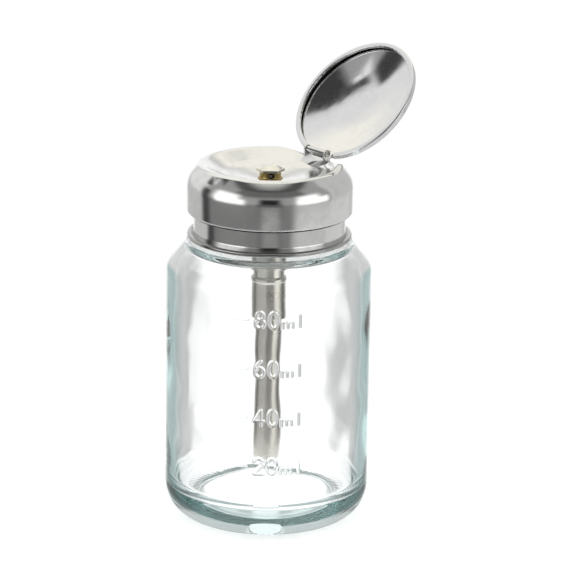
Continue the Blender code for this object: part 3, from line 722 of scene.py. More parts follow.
def press_heel_stop(piece):
    """Flatten the round stop into the heel under the marks."""
    swing = math.pi / 4
    out = Vector((math.cos(marks_turn), math.sin(marks_turn), 0))
    radius = body_radius - heel_width * (1 - math.cos(swing))
    middle = out * radius + Vector((0, 0, heel_height * (1 - math.sin(swing))))
    facing = (out - Vector((0, 0, 1))).normalized()
    for vertex in piece.data.vertices:
        if vertex.co.z > heel_height or vertex.co.dot(out) < 0:
            continue
        offset = vertex.co - middle
        proud = offset.dot(facing) + stop_depth
        aside = (offset - facing * offset.dot(facing)).length
        if proud > 0 and aside < stop_radius:
            vertex.co -= facing * proud


def raise_thread(piece):
    """Raise the screw thread's bead on the neck."""
    for vertex in piece.data.vertices:
        radius = math.hypot(vertex.co.x, vertex.co.y)
        if abs(radius - neck_radius) > neck_margin or vertex.co.z < ledge_height + ledge_rise:
            continue
        turn = math.atan2(vertex.co.y, vertex.co.x) / math.tau % 1
        lift = 0.0
        for along in (turn, turn + 1):
            if along <= thread_turns:
                middle = ledge_height + ledge_rise + thread_start + thread_pitch * along
                fade = min(1.0, along / thread_fade, (thread_turns - along) / thread_fade)
                lift = max(lift, (thread_bead * fade) ** 2 - (vertex.co.z - middle) ** 2)
        lift = math.sqrt(lift)
        vertex.co.x *= 1 + lift / radius
        vertex.co.y *= 1 + lift / radius


press_heel_stop(bottle)
raise_thread(bottle)
print(f"heel stop {stop_depth / mm:.1f} mm deep, thread of {thread_turns} turns")

# %% [markdown]
# The volume marks are raised strokes, generic numbers of millilitres at even heights. Each
# sign is a few strokes on a flat box, drawn with ellipses and straight lines, and is then
# wrapped round the wall. The strokes only guide the shape: they are not part of the object.

# %% Strokes of the volume marks
digit_width = 2.1 * mm
digit_height = 3.9 * mm
small_height = 1.5 * mm
tall_height = 3.1 * mm
tens_place = -1.9 * mm
ones_place = 1.3 * mm
m_place = 4.75 * mm
m_width = 2.6 * mm
l_place = 7.8 * mm
tick_start = -10.9 * mm
tick_end = -4.9 * mm
tick_shares = (0, 0.25, 0.5, 0.75, 1)


def bow(x, y, wide, high, start, stop, steps=20):
    """Part of an ellipse, from one angle to another in degrees."""
    turns = [math.radians(start + (stop - start) * step / steps) for step in range(steps + 1)]
    return [(x + wide * math.cos(turn), y + high * math.sin(turn)) for turn in turns]


def sign_strokes():
    """Strokes of each sign, in shares of its width and height, around its middle."""
    return {
        "0": [bow(0, 0, 0.5, 0.5, 0, 360)],
        "2": [bow(0, 0.22, 0.5, 0.28, 165, -38) + [(-0.5, -0.5), (0.5, -0.5)]],
        "4": [[(0.22, -0.5), (0.22, 0.5), (-0.5, -0.2), (0.5, -0.2)]],
        "6": [bow(0, -0.2, 0.5, 0.3, 0, 360), bow(0.45, -0.18, 0.95, 0.72, 180, 108, 10)],
        "8": [bow(0, 0.26, 0.4, 0.24, 0, 360), bow(0, -0.24, 0.5, 0.26, 0, 360)],
        "m": [
            [(-0.5, -0.5), (-0.5, 0.5)],
            bow(-0.25, 0.2, 0.25, 0.3, 180, 0, 10) + [(0, -0.5)],
            bow(0.25, 0.2, 0.25, 0.3, 180, 0, 10) + [(0.5, -0.5)],
        ],
        "l": [[(0, -0.5), (0, 0.5)]],
    }


def wrap(strokes, centre, width, height, middle):
    """Scale a sign's strokes and lay them on the bottle's wall."""
    wrapped = []
    for stroke in strokes:
        line = []
        for x, y in stroke:
            angle = marks_turn + (centre + x * width) / body_radius
            line.append((body_radius * math.cos(angle), body_radius * math.sin(angle), middle + y * height))
        wrapped.append(line)
    return wrapped


def guide_of(name, strokes):
    """A mesh of bare edges along the strokes."""
    points, edges = [], []
    for stroke in strokes:
        edges += [(len(points) + i, len(points) + i + 1) for i in range(len(stroke) - 1)]
        points += stroke
    mesh = bpy.data.meshes.new(name)
    mesh.from_pydata(points, edges, [])
    return add_piece(name, mesh)


def mark_guides():
    """One guide for the bold digits and one for the fine letters and ticks."""
    signs = sign_strokes()
    bold, fine = [], []
    for line, label in enumerate(mark_labels):
        middle = first_mark + line * mark_spacing
        baseline = middle - digit_height / 2
        bold += wrap(signs[label[0]], tens_place, digit_width, digit_height, middle)
        bold += wrap(signs[label[1]], ones_place, digit_width, digit_height, middle)
        fine += wrap(signs["m"], m_place, m_width, small_height, baseline + small_height / 2)
        fine += wrap(signs["l"], l_place, digit_width, tall_height, baseline + tall_height / 2)
        tick = [(share, 0) for share in tick_shares]
        fine += wrap([tick], tick_start, tick_end - tick_start, digit_height, middle)
    return guide_of("bold_strokes", bold), guide_of("fine_strokes", fine)


bold_strokes, fine_strokes = mark_guides()
print(f"strokes: {len(bold_strokes.data.edges)} bold and {len(fine_strokes.data.edges)} fine edges")

# %% [markdown]
# A Geometry Nodes tree raises the wall near the strokes. Geometry Proximity gives each point
# its distance to the nearest stroke, a smooth ramp turns that into a height, and Set
# Position moves the point straight out from the bottle's axis. The widths and the height are
# inputs, so the same tree makes the bold digits and the fine letters.

# %% A tree that raises strokes on the wall
bold_form = {"flat_half_width": 0.16 * mm, "foot_half_width": 0.43 * mm, "height": 0.32 * mm}
fine_form = {"flat_half_width": 0.05 * mm, "foot_half_width": 0.28 * mm, "height": 0.36 * mm}


def form_tree(name, inputs):
    """A geometry tree with inputs of its own between the geometry and the material."""
    first = ("Geometry", "NodeSocketGeometry", None)
    last = ("Material", "NodeSocketMaterial", None)
    return new_group(name, "GeometryNodeTree", [first, *inputs, last], [("Geometry", "NodeSocketGeometry")])


def straight_out(tree):
    """The direction away from the Z axis at each point."""
    place = node(tree, "GeometryNodeInputPosition").outputs[0]
    flat = node(tree, "ShaderNodeVectorMath", {0: place, 1: (1, 1, 0)}, operation="MULTIPLY")
    return node(tree, "ShaderNodeVectorMath", {0: flat.outputs[0]}, operation="NORMALIZE").outputs[0]


def finish_tree(tree, inside, out, shape):
    """End a tree as plain geometry with its material."""
    real = node(tree, "GeometryNodeRealizeInstances", {0: shape})
    sockets = {0: real.outputs[0], "Material": inside.outputs["Material"]}
    dressed = node(tree, "GeometryNodeSetMaterial", sockets)
    tree.links.new(dressed.outputs[0], out.inputs[0])
    return tree


def moved_out(tree, shape, distance):
    """Geometry with its points moved straight out by a distance."""
    sockets = {0: straight_out(tree), "Scale": distance}
    along = node(tree, "ShaderNodeVectorMath", sockets, operation="SCALE").outputs[0]
    return node(tree, "GeometryNodeSetPosition", {"Geometry": shape, "Offset": along}).outputs[0]


def make_raised_strokes():
    """Raise the surface within a small distance of guide strokes."""
    tree, inside, out = form_tree("raised_strokes", [
        ("Strokes", "NodeSocketObject", None),
        ("Flat half width", FLOAT, 0.2 * mm),
        ("Foot half width", FLOAT, 0.5 * mm),
        ("Height", FLOAT, 0.3 * mm),
    ])
    guide = node(tree, "GeometryNodeObjectInfo", {"Object": inside.outputs["Strokes"]})
    near = node(tree, "GeometryNodeProximity", {0: guide.outputs["Geometry"]}, target_element="EDGES")
    height = ramp(tree, near.outputs["Distance"], inside.outputs["Flat half width"],
                  inside.outputs["Foot half width"], inside.outputs["Height"], 0.0)
    shape = moved_out(tree, inside.outputs["Geometry"], height)
    return finish_tree(tree, inside, out, shape)


def use_tree(piece, tree, **values):
    """Run a geometry tree on a piece with the given inputs, and keep the plain mesh."""
    step = piece.modifiers.new(tree.name, "NODES")
    step.node_group = tree
    for item in tree.interface.items_tree:
        key = item.name.lower().replace(" ", "_")
        if item.in_out == "INPUT" and key in values:
            step[item.identifier] = values[key]
    return settle(piece)


raised_strokes = make_raised_strokes()
use_tree(bottle, raised_strokes, strokes=bold_strokes, material=glass, **bold_form)
use_tree(bottle, raised_strokes, strokes=fine_strokes, material=glass, **fine_form)
for guide in (bold_strokes, fine_strokes):
    bpy.data.objects.remove(guide)
print(f"marks raised on a wall of {len(bottle.data.polygons)} faces")

# %% [markdown]
# A blown bottle is smooth outside, where it met the mould, and wavy inside, where only air
# shaped it. Those waves are what makes the real bottle look like glass: they bend the edges
# of the dark reflections. A second tree moves the inner wall by a slow noise with a fixed
# seed, and leaves the outside, the floor and the neck alone.

# %% A tree that makes the inner wall wavy
wave_depth = 1.1 * mm
wave_scale = 62.0
wave_seed = 7.0
wave_bottom = floor_height + 2 * mm
wave_top = 62 * mm
wave_fade = 8 * mm


def make_blown_waves():
    """Slow waves on the inner wall."""
    tree, inside, out = form_tree("blown_waves", [
        ("Depth", FLOAT, 0.5 * mm),
        ("Scale", FLOAT, 50.0),
        ("Seed", FLOAT, 0.0),
        ("Outer radius", FLOAT, 24 * mm),
        ("Bottom", FLOAT, 0.0),
        ("Top", FLOAT, 70 * mm),
        ("Fade", FLOAT, 6 * mm),
    ])
    place = node(tree, "GeometryNodeInputPosition").outputs[0]
    apart = node(tree, "ShaderNodeSeparateXYZ", {0: place})
    inner = calc(tree, "LESS_THAN", from_axis(tree, place), inside.outputs["Outer radius"])
    bottom, top, fade = (inside.outputs[name] for name in ("Bottom", "Top", "Fade"))
    rising = ramp(tree, apart.outputs[2], bottom, calc(tree, "ADD", bottom, fade))
    falling = ramp(tree, apart.outputs[2], calc(tree, "SUBTRACT", top, fade), top, 1.0, 0.0)
    wave = noise(tree, place, inside.outputs["Scale"], detail=1.0, seed=inside.outputs["Seed"])
    swing = calc(tree, "SUBTRACT", wave, noise_middle)
    deep = calc(tree, "MULTIPLY", swing, inside.outputs["Depth"])
    on_inner = calc(tree, "MULTIPLY", deep, inner)
    on_wall = calc(tree, "MULTIPLY", rising, falling)
    distance = calc(tree, "MULTIPLY", on_inner, on_wall)
    shape = moved_out(tree, inside.outputs["Geometry"], distance)
    return finish_tree(tree, inside, out, shape)


blown_waves = make_blown_waves()
use_tree(bottle, blown_waves, depth=wave_depth, scale=wave_scale, seed=wave_seed,
         outer_radius=body_radius - glass_wall / 2, bottom=wave_bottom, top=wave_top,
         fade=wave_fade, material=glass)
shade(bottle, 60.0)
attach(bottle, "bottle")
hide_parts("glass_bottle")
print(f"bottle: {len(bottle.data.polygons)} faces")

# %% [markdown]
# ## The press bell
# The bell is one disc of thin sheet, spun over a former: a skirt that curls in at the bottom,
# a round shoulder, a crest and a shallow dish. It is turned as a single surface and given the
# thickness of the sheet. Then both of its faces are pressed down together below the hinge.

# %% The bell's outline
sheet = 0.5 * mm
crest_height = 88.3 * mm
crest_inner = 16.1 * mm
crest_outer = 17.4 * mm
dish_floor = 84.0 * mm
stem_hole = 2.0 * mm
dish_flat = 3.8 * mm
dish_side = 11.5 * mm
dish_side_height = 85.5 * mm
bell_radius = 20.25 * mm
bell_shoulder = 84.8 * mm
skirt_bottom = 76.72 * mm
curl_radius = 19.33 * mm
curl_bottom = 76.16 * mm
dent_depth = 1.5 * mm
dent_half_width = 12.0 * mm
dent_inner_run = 4.0 * mm
dent_skirt_run = 4.5 * mm
curl_shade_top = 76.55 * mm

bell_corners = [
    (stem_hole, dish_floor, 0),
    (dish_flat, dish_floor, 3.0 * mm),
    (dish_side, dish_side_height, 8.0 * mm),
    (crest_inner, crest_height, 2.0 * mm),
    (crest_outer, crest_height, 2.2 * mm),
    (bell_radius, bell_shoulder, 8.0 * mm),
    (bell_radius, skirt_bottom, 1.9 * mm),
    (curl_radius, curl_bottom, 0),
]


def dent(point):
    """How far the sheet is pressed down under the hinge at this point."""
    if point.y < 0:
        return 0
    across = min(1.0, abs(point.x) / dent_half_width)
    radius = math.hypot(point.x, point.y)
    along = (crest_inner - radius) / dent_inner_run
    if radius > crest_inner:
        along = (crest_height - point.z) / dent_skirt_run
    along = min(1.0, max(0, along))
    return dent_depth * (1 - across**3) ** 2 * (1 - along**2) ** 2


def give_thickness(piece, thickness):
    """Make a sheet solid, growing inwards from its outer face."""
    wall = piece.modifiers.new("sheet", "SOLIDIFY")
    wall.thickness = thickness
    wall.offset = -1.0
    wall.use_even_offset = True
    return settle(piece)


bell = turned("bell", bell_corners, closed=False, segments=256)
give_thickness(bell, sheet)
for vertex in bell.data.vertices:
    vertex.co.z -= dent(vertex.co)
print(f"bell: {len(bell.data.polygons)} faces, dent {dent_depth / mm:.1f} mm deep")

# %% [markdown]
# The bell is polished all over except in the curl at the bottom of its skirt, which gets a
# near-black painted shade for the dark gap above the collar. It belongs to the press head, so
# it goes down when a finger presses the dish.

# %% Finish and fit the bell
bell.data.materials.append(polished_steel)
# Painted shade: the curl at the bottom of the skirt is coloured near black
finish_where(bell, black_film, lambda centre: centre.z < curl_shade_top)
shade(bell)
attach(bell, "press_head")
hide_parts("press_bell")
print("bell finishes:", ", ".join(finish.name for finish in bell.data.materials))

# %% [markdown]
# ## The collar
# The collar is a drawn steel cup over the plastic thread, with a flat deck on top. Its foot
# flares out a little and ends in a rolled bead that stands just above the glass, with a fine
# groove behind it. One closed outline gives both faces of the sheet at once. The polishing
# wheel hardly reaches the rolled foot, so its faces get a rougher steel, and their much darker
# colour is a painted shade.

# %% The collar
deck_top = 77.9 * mm
collar_inner = 18.0 * mm
collar_outer = collar_inner + sheet
collar_bottom = 70.1 * mm
rim_radius = 20.0 * mm
rim_depth = 1.1 * mm
rim_inner = 18.8 * mm
rim_inner_top = 18.6 * mm
groove_inner = 18.85 * mm
groove_outer = 19.15 * mm
deck_hole = 5.3 * mm
flare_top = 72.1 * mm
flare_inner_top = 73.4 * mm
rim_top = collar_bottom + rim_depth

collar = turned("collar", [
    (collar_outer, deck_top, 0.9 * mm),
    (collar_outer, flare_top, 2.0 * mm),
    (groove_inner, rim_top - 0.3 * mm, 0.25 * mm),
    (groove_outer, rim_top, 0.25 * mm),
    (rim_radius, rim_top, 0.45 * mm),
    (rim_radius, collar_bottom, 0.5 * mm),
    (rim_inner, collar_bottom, 0.25 * mm),
    (rim_inner_top, rim_top - 0.2 * mm, 0.3 * mm),
    (collar_inner, flare_inner_top, 4.0 * mm),
    (collar_inner, deck_top - sheet, 0.4 * mm),
    (deck_hole, deck_top - sheet, 0),
    (deck_hole, deck_top, 0.1 * mm),
], segments=256)
collar.data.materials.append(polished_steel)
# Painted shade: the flare and the rolled foot get the darker steel
finish_where(collar, rolled_steel, lambda centre: centre.z < flare_top)
shade(collar)
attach(collar, "pump_head")
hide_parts("collar_shell")
print(f"collar: {len(collar.data.polygons)} faces")

# %% [markdown]
# ## The pump cylinder and the dip tube
# The cylinder hangs from the cap into the bottle. Two rings and a waist are rolled into it,
# which hold the parts inside, and the dip tube is pressed into its open foot. Both are plain
# turned sleeves with their own inner walls, so the tube's open end is really open. The outline
# of the cylinder starts at its top, goes down outside and comes back up through the bore.

# %% The pump cylinder
# Radius, height and rounding of each corner, in millimetres
cylinder_outline = [
    (5.0, 78.8, 0.15),
    (5.0, 76.0, 0.1),
    (7.5, 76.0, 0.2),
    (7.5, 74.8, 0.2),
    (5.0, 74.8, 0.2),
    (5.0, 68.2, 0.25),
    (4.1, 68.2, 0.2),
    (4.1, 63.9, 0.15),
    (4.25, 63.9, 0.15),
    (4.25, 63.1, 0.3),
    (3.75, 62.7, 0.4),
    (3.75, 60.0, 0.6),
    (4.3, 59.6, 0.35),
    (4.3, 58.8, 0.35),
    (4.1, 58.4, 0.3),
    (4.1, 50.1, 0.35),
    (3.2, 50.1, 0.1),
    (3.2, 78.8, 0.1),
]
cylinder_corners = [[size * mm for size in corner] for corner in cylinder_outline]
cylinder = turned("cylinder", cylinder_corners, segments=96)
cylinder.data.materials.append(satin_steel)
shade(cylinder)
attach(cylinder, "pump_head")
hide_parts("pump_cylinder")

# %% [markdown]
# The tube's top end is held in the foot of the cylinder. Its lower end hangs free, some way
# above the floor of the bottle.

# %% The dip tube
tube_radius = 3.0 * mm
tube_wall = 0.5 * mm
tube_top = 53.3 * mm
tube_end = 13.9 * mm
dip_tube = turned("suction_tube", [
    (tube_radius, tube_top, 0.1 * mm),
    (tube_radius, tube_end, 0.12 * mm),
    (tube_radius - tube_wall, tube_end, 0.12 * mm),
    (tube_radius - tube_wall, tube_top, 0.1 * mm),
], segments=96)
dip_tube.data.materials.append(satin_steel)
shade(dip_tube)
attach(dip_tube, "pump_head")
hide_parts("dip_tube")
print("cylinder and tube:", len(cylinder.data.polygons) + len(dip_tube.data.polygons), "faces")

# %% [markdown]
# ## The nozzle
# The little brass column in the middle of the dish has a hexagonal plate on top, turned by
# hand to open a side hole in the column. The column is turned, the plate is a six-sided bar
# with a low facetted peak, and the hole is cut by a Boolean. The helpers here make plain
# bars, join or cut two shapes, and round sharp edges. The lid and its bracket use them too.

# %% Bars, joins and softened edges
soft_width = 0.06 * mm
soft_angle = 35.0


def join_in(piece, other, operation="UNION"):
    """Join the other shape to this piece, or cut it away, and remove the other."""
    step = piece.modifiers.new(operation.lower(), "BOOLEAN")
    step.operation = operation
    step.object = other
    step.solver = "EXACT"
    settle(piece)
    bpy.data.objects.remove(other)
    return piece


def soften(piece):
    """Round the sharp edges a little, as pressed and turned edges are."""
    bevel = piece.modifiers.new("soft_edges", "BEVEL")
    bevel.width = soft_width
    bevel.segments = 2
    bevel.limit_method = "ANGLE"
    bevel.angle_limit = math.radians(soft_angle)
    return settle(piece)


def rod(name, radius, bottom, top, sides=48):
    """A plain round or many-sided bar on the Z axis."""
    shape = bmesh.new()
    bmesh.ops.create_cone(
        shape, cap_ends=True, segments=sides, radius1=radius, radius2=radius, depth=top - bottom
    )
    bmesh.ops.translate(shape, verts=shape.verts, vec=(0, 0, (top + bottom) / 2))
    return piece_from(name, shape)


# %% [markdown]
# The plate is inset on top and raised to a small peak that sits a little off centre. The side
# hole runs from the middle of the column out through its wall, just below the plate.

# %% The nozzle
nozzle_bottom = 84.5 * mm
waist_radius = 2.6 * mm
flange_reach = 0.45 * mm
flange_rise = 0.25 * mm
plate_bottom = 86.5 * mm
plate_top = 87.1 * mm
plate_radius = 3.45 * mm
plate_inset = 0.25 * mm
peak_top = 88.0 * mm
peak_radius = 1.2 * mm
peak_shift = 0.35 * mm
plate_turn = math.radians(19.0)
side_hole = 0.75 * mm
side_hole_turn = math.radians(-35.0)
side_hole_height = 85.65 * mm
side_hole_length = 5 * mm
stem_radius = 1.8 * mm
overlap = 0.3 * mm


def hexagon_plate():
    """A six-sided plate with a low six-sided peak, a little off centre."""
    plate = rod("plate", plate_radius, plate_bottom, plate_top, sides=6)
    shape = bmesh.new()
    shape.from_mesh(plate.data)
    top = max(shape.faces, key=lambda face: face.calc_center_median().z)
    bmesh.ops.inset_region(shape, faces=[top], thickness=plate_inset)
    raised = bmesh.ops.extrude_face_region(shape, geom=[top])
    corners = [item for item in raised["geom"] if isinstance(item, bmesh.types.BMVert)]
    for corner in corners:
        corner.co.x = corner.co.x * peak_radius / plate_radius + peak_shift
        corner.co.y = corner.co.y * peak_radius / plate_radius
        corner.co.z = peak_top
    shape.to_mesh(plate.data)
    shape.free()
    close_up(plate)
    plate.data.transform(Matrix.Rotation(plate_turn, 4, "Z"))
    return plate


nozzle = turned("spout_nozzle", [
    (0, plate_bottom + overlap, 0),
    (waist_radius, plate_bottom + overlap, 0),
    (waist_radius, nozzle_bottom + 0.5 * mm, 0.5 * mm),
    (waist_radius + flange_reach, nozzle_bottom + flange_rise, 0.15 * mm),
    (waist_radius + flange_reach, nozzle_bottom, 0.08 * mm),
    (stem_radius, nozzle_bottom, 0),
    (stem_radius, plate_bottom, 0),
    (0, plate_bottom, 0),
], closed=False, segments=96)
join_in(nozzle, hexagon_plate())
drill = rod("drill", side_hole, 0, side_hole_length)
aim = Matrix.Rotation(side_hole_turn, 4, "Z") @ Matrix.Rotation(math.pi / 2, 4, "Y")
drill.data.transform(Matrix.Translation((0, 0, side_hole_height)) @ aim)
join_in(nozzle, drill, "DIFFERENCE")
soften(nozzle)
nozzle.data.materials.clear()
nozzle.data.materials.append(washed_brass)
shade(nozzle)
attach(nozzle, "twist_nozzle")
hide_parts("nozzle")
print(f"nozzle: {len(nozzle.data.polygons)} faces")

# %% [markdown]
# ## The lid
# The lid is a shallow pan with a hollow hem: its edge is folded in and crimped, which leaves
# a thick bright lip and a fold behind it that is given a near-black painted shade. It is made
# closed, lying on the hinge's axis, where its measures are simple, and is then turned open
# about that axis.

# %% The lid's pan and hem
hinge = Vector((0, 15.0 * mm, 88.95 * mm))
lid_open = math.radians(133.5)
lid_reach = 16.4 * mm
lid_radius = 17.0 * mm
hem_width = 1.3 * mm
hem_depth = 0.75 * mm
hem_undercut = 0.6 * mm
hem_round = 0.3 * mm
hem_middle = 1.1 * mm
hem_bottom = hem_middle - hem_depth / 2
hem_top = hem_bottom + hem_depth
wall_top = 2.545 * mm
dome_rise = 1.6 * mm
pan_radius = lid_radius - hem_width + hem_undercut
lip_radius = lid_radius - hem_width
knee_share = 0.45
knee_rise_share = 0.8
knee_radius = lid_radius * knee_share
knee_height = wall_top + dome_rise * knee_rise_share
knee_round = 40 * mm
corner_round = 1.4 * mm

lid = turned("flip_lid", [
    (0, wall_top + dome_rise, 0),
    (knee_radius, knee_height, knee_round),
    (pan_radius + sheet, wall_top, corner_round + sheet),
    (pan_radius + sheet, hem_top, 0.1 * mm),
    (lid_radius, hem_top, hem_round),
    (lid_radius, hem_bottom, hem_round),
    (lip_radius, hem_bottom, hem_round),
    (lip_radius, hem_top, hem_round),
    (pan_radius, hem_top, 0.1 * mm),
    (pan_radius, wall_top - sheet, 0.3 * mm),
    (knee_radius, knee_height - sheet, knee_round),
    (0, wall_top + dome_rise - sheet, 0),
], closed=False, segments=288)
print(f"lid pan: {len(lid.data.polygons)} faces")

# %% [markdown]
# The crimping tool leaves small wrinkles on the inner edge of the hem. They follow a rule, a
# ripple round the edge that fades in and out, so a Geometry Nodes tree makes them: the angle
# of each point drives a sine, and a slow noise decides where the ripple is strong.

# %% A tree that crimps the hem
ripple_count = 60.0
ripple_depth = 0.05 * mm
ripple_seed = 2.0
ripple_reach = 0.6 * mm
patch_scale = 120.0
patch_start = 0.35
patch_full = 0.65


def make_crimp():
    """Ripples round the inner edge of a hem."""
    tree, inside, out = form_tree("hem_crimp", [
        ("Count", FLOAT, 90.0),
        ("Depth", FLOAT, 0.05 * mm),
        ("Inner radius", FLOAT, 15.5 * mm),
        ("Outer radius", FLOAT, 16.5 * mm),
        ("Top", FLOAT, 1.5 * mm),
        ("Seed", FLOAT, 0.0),
    ])
    value = inside.outputs
    place = node(tree, "GeometryNodeInputPosition").outputs[0]
    apart = node(tree, "ShaderNodeSeparateXYZ", {0: place})
    angle = calc(tree, "ARCTAN2", apart.outputs[1], apart.outputs[0])
    ripple = calc(tree, "SINE", calc(tree, "MULTIPLY", angle, value["Count"]))
    strength = noise(tree, place, patch_scale, detail=2.0, seed=value["Seed"])
    patches = ramp(tree, strength, patch_start, patch_full)
    below_top = calc(tree, "LESS_THAN", apart.outputs[2], value["Top"])
    radius = from_axis(tree, place)
    inwards = ramp(tree, radius, value["Inner radius"], value["Outer radius"], 1.0, 0.0)
    on_hem = calc(tree, "MULTIPLY", below_top, inwards)
    patchy = calc(tree, "MULTIPLY", ripple, patches)
    distance = calc(tree, "MULTIPLY", patchy, calc(tree, "MULTIPLY", on_hem, value["Depth"]))
    shape = moved_out(tree, value["Geometry"], distance)
    return finish_tree(tree, inside, out, shape)


crimp = make_crimp()
use_tree(lid, crimp, count=ripple_count, depth=ripple_depth, inner_radius=lip_radius,
         outer_radius=lid_radius - ripple_reach, top=hem_top - 0.1 * mm, seed=ripple_seed,
         material=mirror_steel)
print(f"hem crimped with {ripple_count:.0f} ripples")

# %% [markdown]
# The hinge barrel is a tongue of the lid's own sheet, cut free at both sides and rolled round
# the pin. The two cuts show as dark notches at its ends. The rolled tongue is an open
# outline swept along X: a circle that doesn't quite close, and a tail that runs to the pan.

# %% The hinge barrel
barrel_length = 6.2 * mm
barrel_radius = 0.8 * mm
barrel_bore = 0.55 * mm
barrel_half = barrel_length / 2 - 0.1 * mm
notch_outer = 4.4 * mm
notch_depth = 2.4 * mm
cut_margin = 1 * mm
roll_start = 100.0
roll_sweep = 345.0
roll_steps = 36
tail_reach = 1.5 * mm
tail_height = barrel_radius + 0.35 * mm
fold_margin = 0.02 * mm
fold_top_margin = 0.01 * mm
lip_margin = 0.2 * mm


def block(name, low, high):
    """A box between two corners."""
    shape = bmesh.new()
    bmesh.ops.create_cube(shape, size=1.0)
    bmesh.ops.scale(shape, verts=shape.verts, vec=Vector(high) - Vector(low))
    bmesh.ops.translate(shape, verts=shape.verts, vec=(Vector(low) + Vector(high)) / 2)
    return piece_from(name, shape)


def to_open(piece):
    """Turn a piece made closed, on the hinge's axis, to where it stands open."""
    piece.data.transform(Matrix.Translation(hinge) @ Matrix.Rotation(-lid_open, 4, "X"))


def rolled_tongue():
    """The barrel: sheet rolled round the pin, with its tail reaching under the hem."""
    wall = barrel_radius - barrel_bore
    outside, inside = [], []
    for step in range(roll_steps + 1):
        turn = math.radians(roll_start - roll_sweep * step / roll_steps)
        outside.append((barrel_radius * math.cos(turn), barrel_radius * math.sin(turn)))
        inside.append((barrel_bore * math.cos(turn), barrel_bore * math.sin(turn)))
    tail = [(-tail_reach, tail_height), (-tail_reach, tail_height - wall)]
    ring = [tail[0], *outside, *reversed(inside), tail[1]]
    shape = bmesh.new()
    ends = [[shape.verts.new((x, y, z)) for y, z in ring] for x in (-barrel_half, barrel_half)]
    for side in ends:
        shape.faces.new(side)
    for index in range(len(ring)):
        after = (index + 1) % len(ring)
        shape.faces.new((ends[0][index], ends[0][after], ends[1][after], ends[1][index]))
    bmesh.ops.recalc_face_normals(shape, faces=shape.faces)
    return piece_from("lid_barrel", shape)


lid.data.transform(Matrix.Translation((0, -lid_reach, 0)))
lid_edge = lid_radius - lid_reach
for side in (-1, 1):
    low_x, high_x = sorted((side * barrel_half, side * notch_outer))
    notch_low = (low_x, lid_edge - notch_depth, hem_bottom - cut_margin)
    notch_high = (high_x, lid_edge + cut_margin, wall_top + cut_margin)
    join_in(lid, block("notch", notch_low, notch_high), "DIFFERENCE")
barrel = rolled_tongue()
for piece in (lid, barrel):
    piece.data.materials.clear()
    piece.data.materials.append(mirror_steel)


def in_the_fold(centre):
    """Whether a point is behind the lip, in the fold that gets a painted shade."""
    radius = math.hypot(centre.x, centre.y + lid_reach)
    in_height = hem_top - fold_margin < centre.z < wall_top - sheet + fold_top_margin
    return in_height and lip_radius + lip_margin < radius < pan_radius + fold_margin


# Painted shade: the fold behind the lip is coloured near black
finish_where(lid, black_film, in_the_fold)
for piece in (lid, barrel):
    to_open(piece)
    shade(piece)
    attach(piece, "lid")
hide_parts("lid_shell")
print(f"barrel {barrel_length / mm:.1f} mm long, lid open {math.degrees(lid_open):.1f} degrees")

# %% [markdown]
# ## The bracket and the pin
# A small bracket is spot welded to the bell and holds the pin in two upright ears. Between
# them a saddle rises from the dish to just under the barrel. Each part is a flat outline,
# filled and given thickness by a 2-D curve, and the ears have a round top and a hole.

# %% The bracket
ear_inner = 3.3 * mm
ear_thickness = 0.4 * mm
ear_radius = 1.0 * mm
foot_depth = 2.6 * mm
saddle_front = -2.7 * mm
saddle_step = -0.5 * mm
saddle_back = -0.05 * mm
saddle_top = -1.0 * mm
saddle_foot = -3.0 * mm
saddle_outline = [
    (saddle_front, saddle_foot),
    (saddle_step, saddle_top),
    (saddle_back, saddle_top),
    (saddle_back, saddle_foot),
]


def flat_plate(name, outlines, thickness):
    """A flat plate from outlines: the first is its edge, the others are holes."""
    curve = bpy.data.curves.new(name, "CURVE")
    curve.dimensions = "2D"
    curve.fill_mode = "BOTH"
    curve.extrude = thickness / 2
    for outline in outlines:
        spline = curve.splines.new("POLY")
        spline.points.add(len(outline) - 1)
        for point, (x, y) in zip(spline.points, outline):
            point.co = (x, y, 0, 1.0)
        spline.use_cyclic_u = True
    guide = add_piece(name + "_curve", curve)
    bpy.context.view_layer.update()
    graph = bpy.context.evaluated_depsgraph_get()
    plate = add_piece(name, bpy.data.meshes.new_from_object(guide.evaluated_get(graph)))
    bpy.data.objects.remove(guide)
    close_up(plate)
    return plate


def make_bracket():
    """The saddle on the dish and its two ears, joined. Outlines are measured from the hinge."""
    upright = Matrix(((0, 0, 1), (1, 0, 0), (0, 1, 0))).to_4x4()
    base = flat_plate("lid_bracket", [saddle_outline], 2 * ear_inner + ear_thickness)
    base.data.transform(Matrix.Translation(hinge) @ upright)
    arch = bow(0, 0, ear_radius, ear_radius, 0, 180, 24)
    eye = bow(0, 0, barrel_bore, barrel_bore, 0, 345, 23)
    foot = [(-ear_radius, -foot_depth), (ear_radius, -foot_depth)]
    for side in (-1, 1):
        ear = flat_plate("ear", [[*arch, *foot], eye], ear_thickness)
        middle = Vector((side * (ear_inner + ear_thickness / 2), hinge.y, hinge.z))
        ear.data.transform(Matrix.Translation(middle) @ upright)
        join_in(base, ear)
    return soften(base)


bracket = make_bracket()
bracket.data.materials.clear()
bracket.data.materials.append(polished_steel)
shade(bracket)
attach(bracket, "press_head")
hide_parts("hinge_bracket")
print(f"bracket: {len(bracket.data.polygons)} faces")

# %% [markdown]
# The pin is a plain rod with a small head at each end. Like every turned piece it is made
# upright, and is then laid along the hinge's axis.

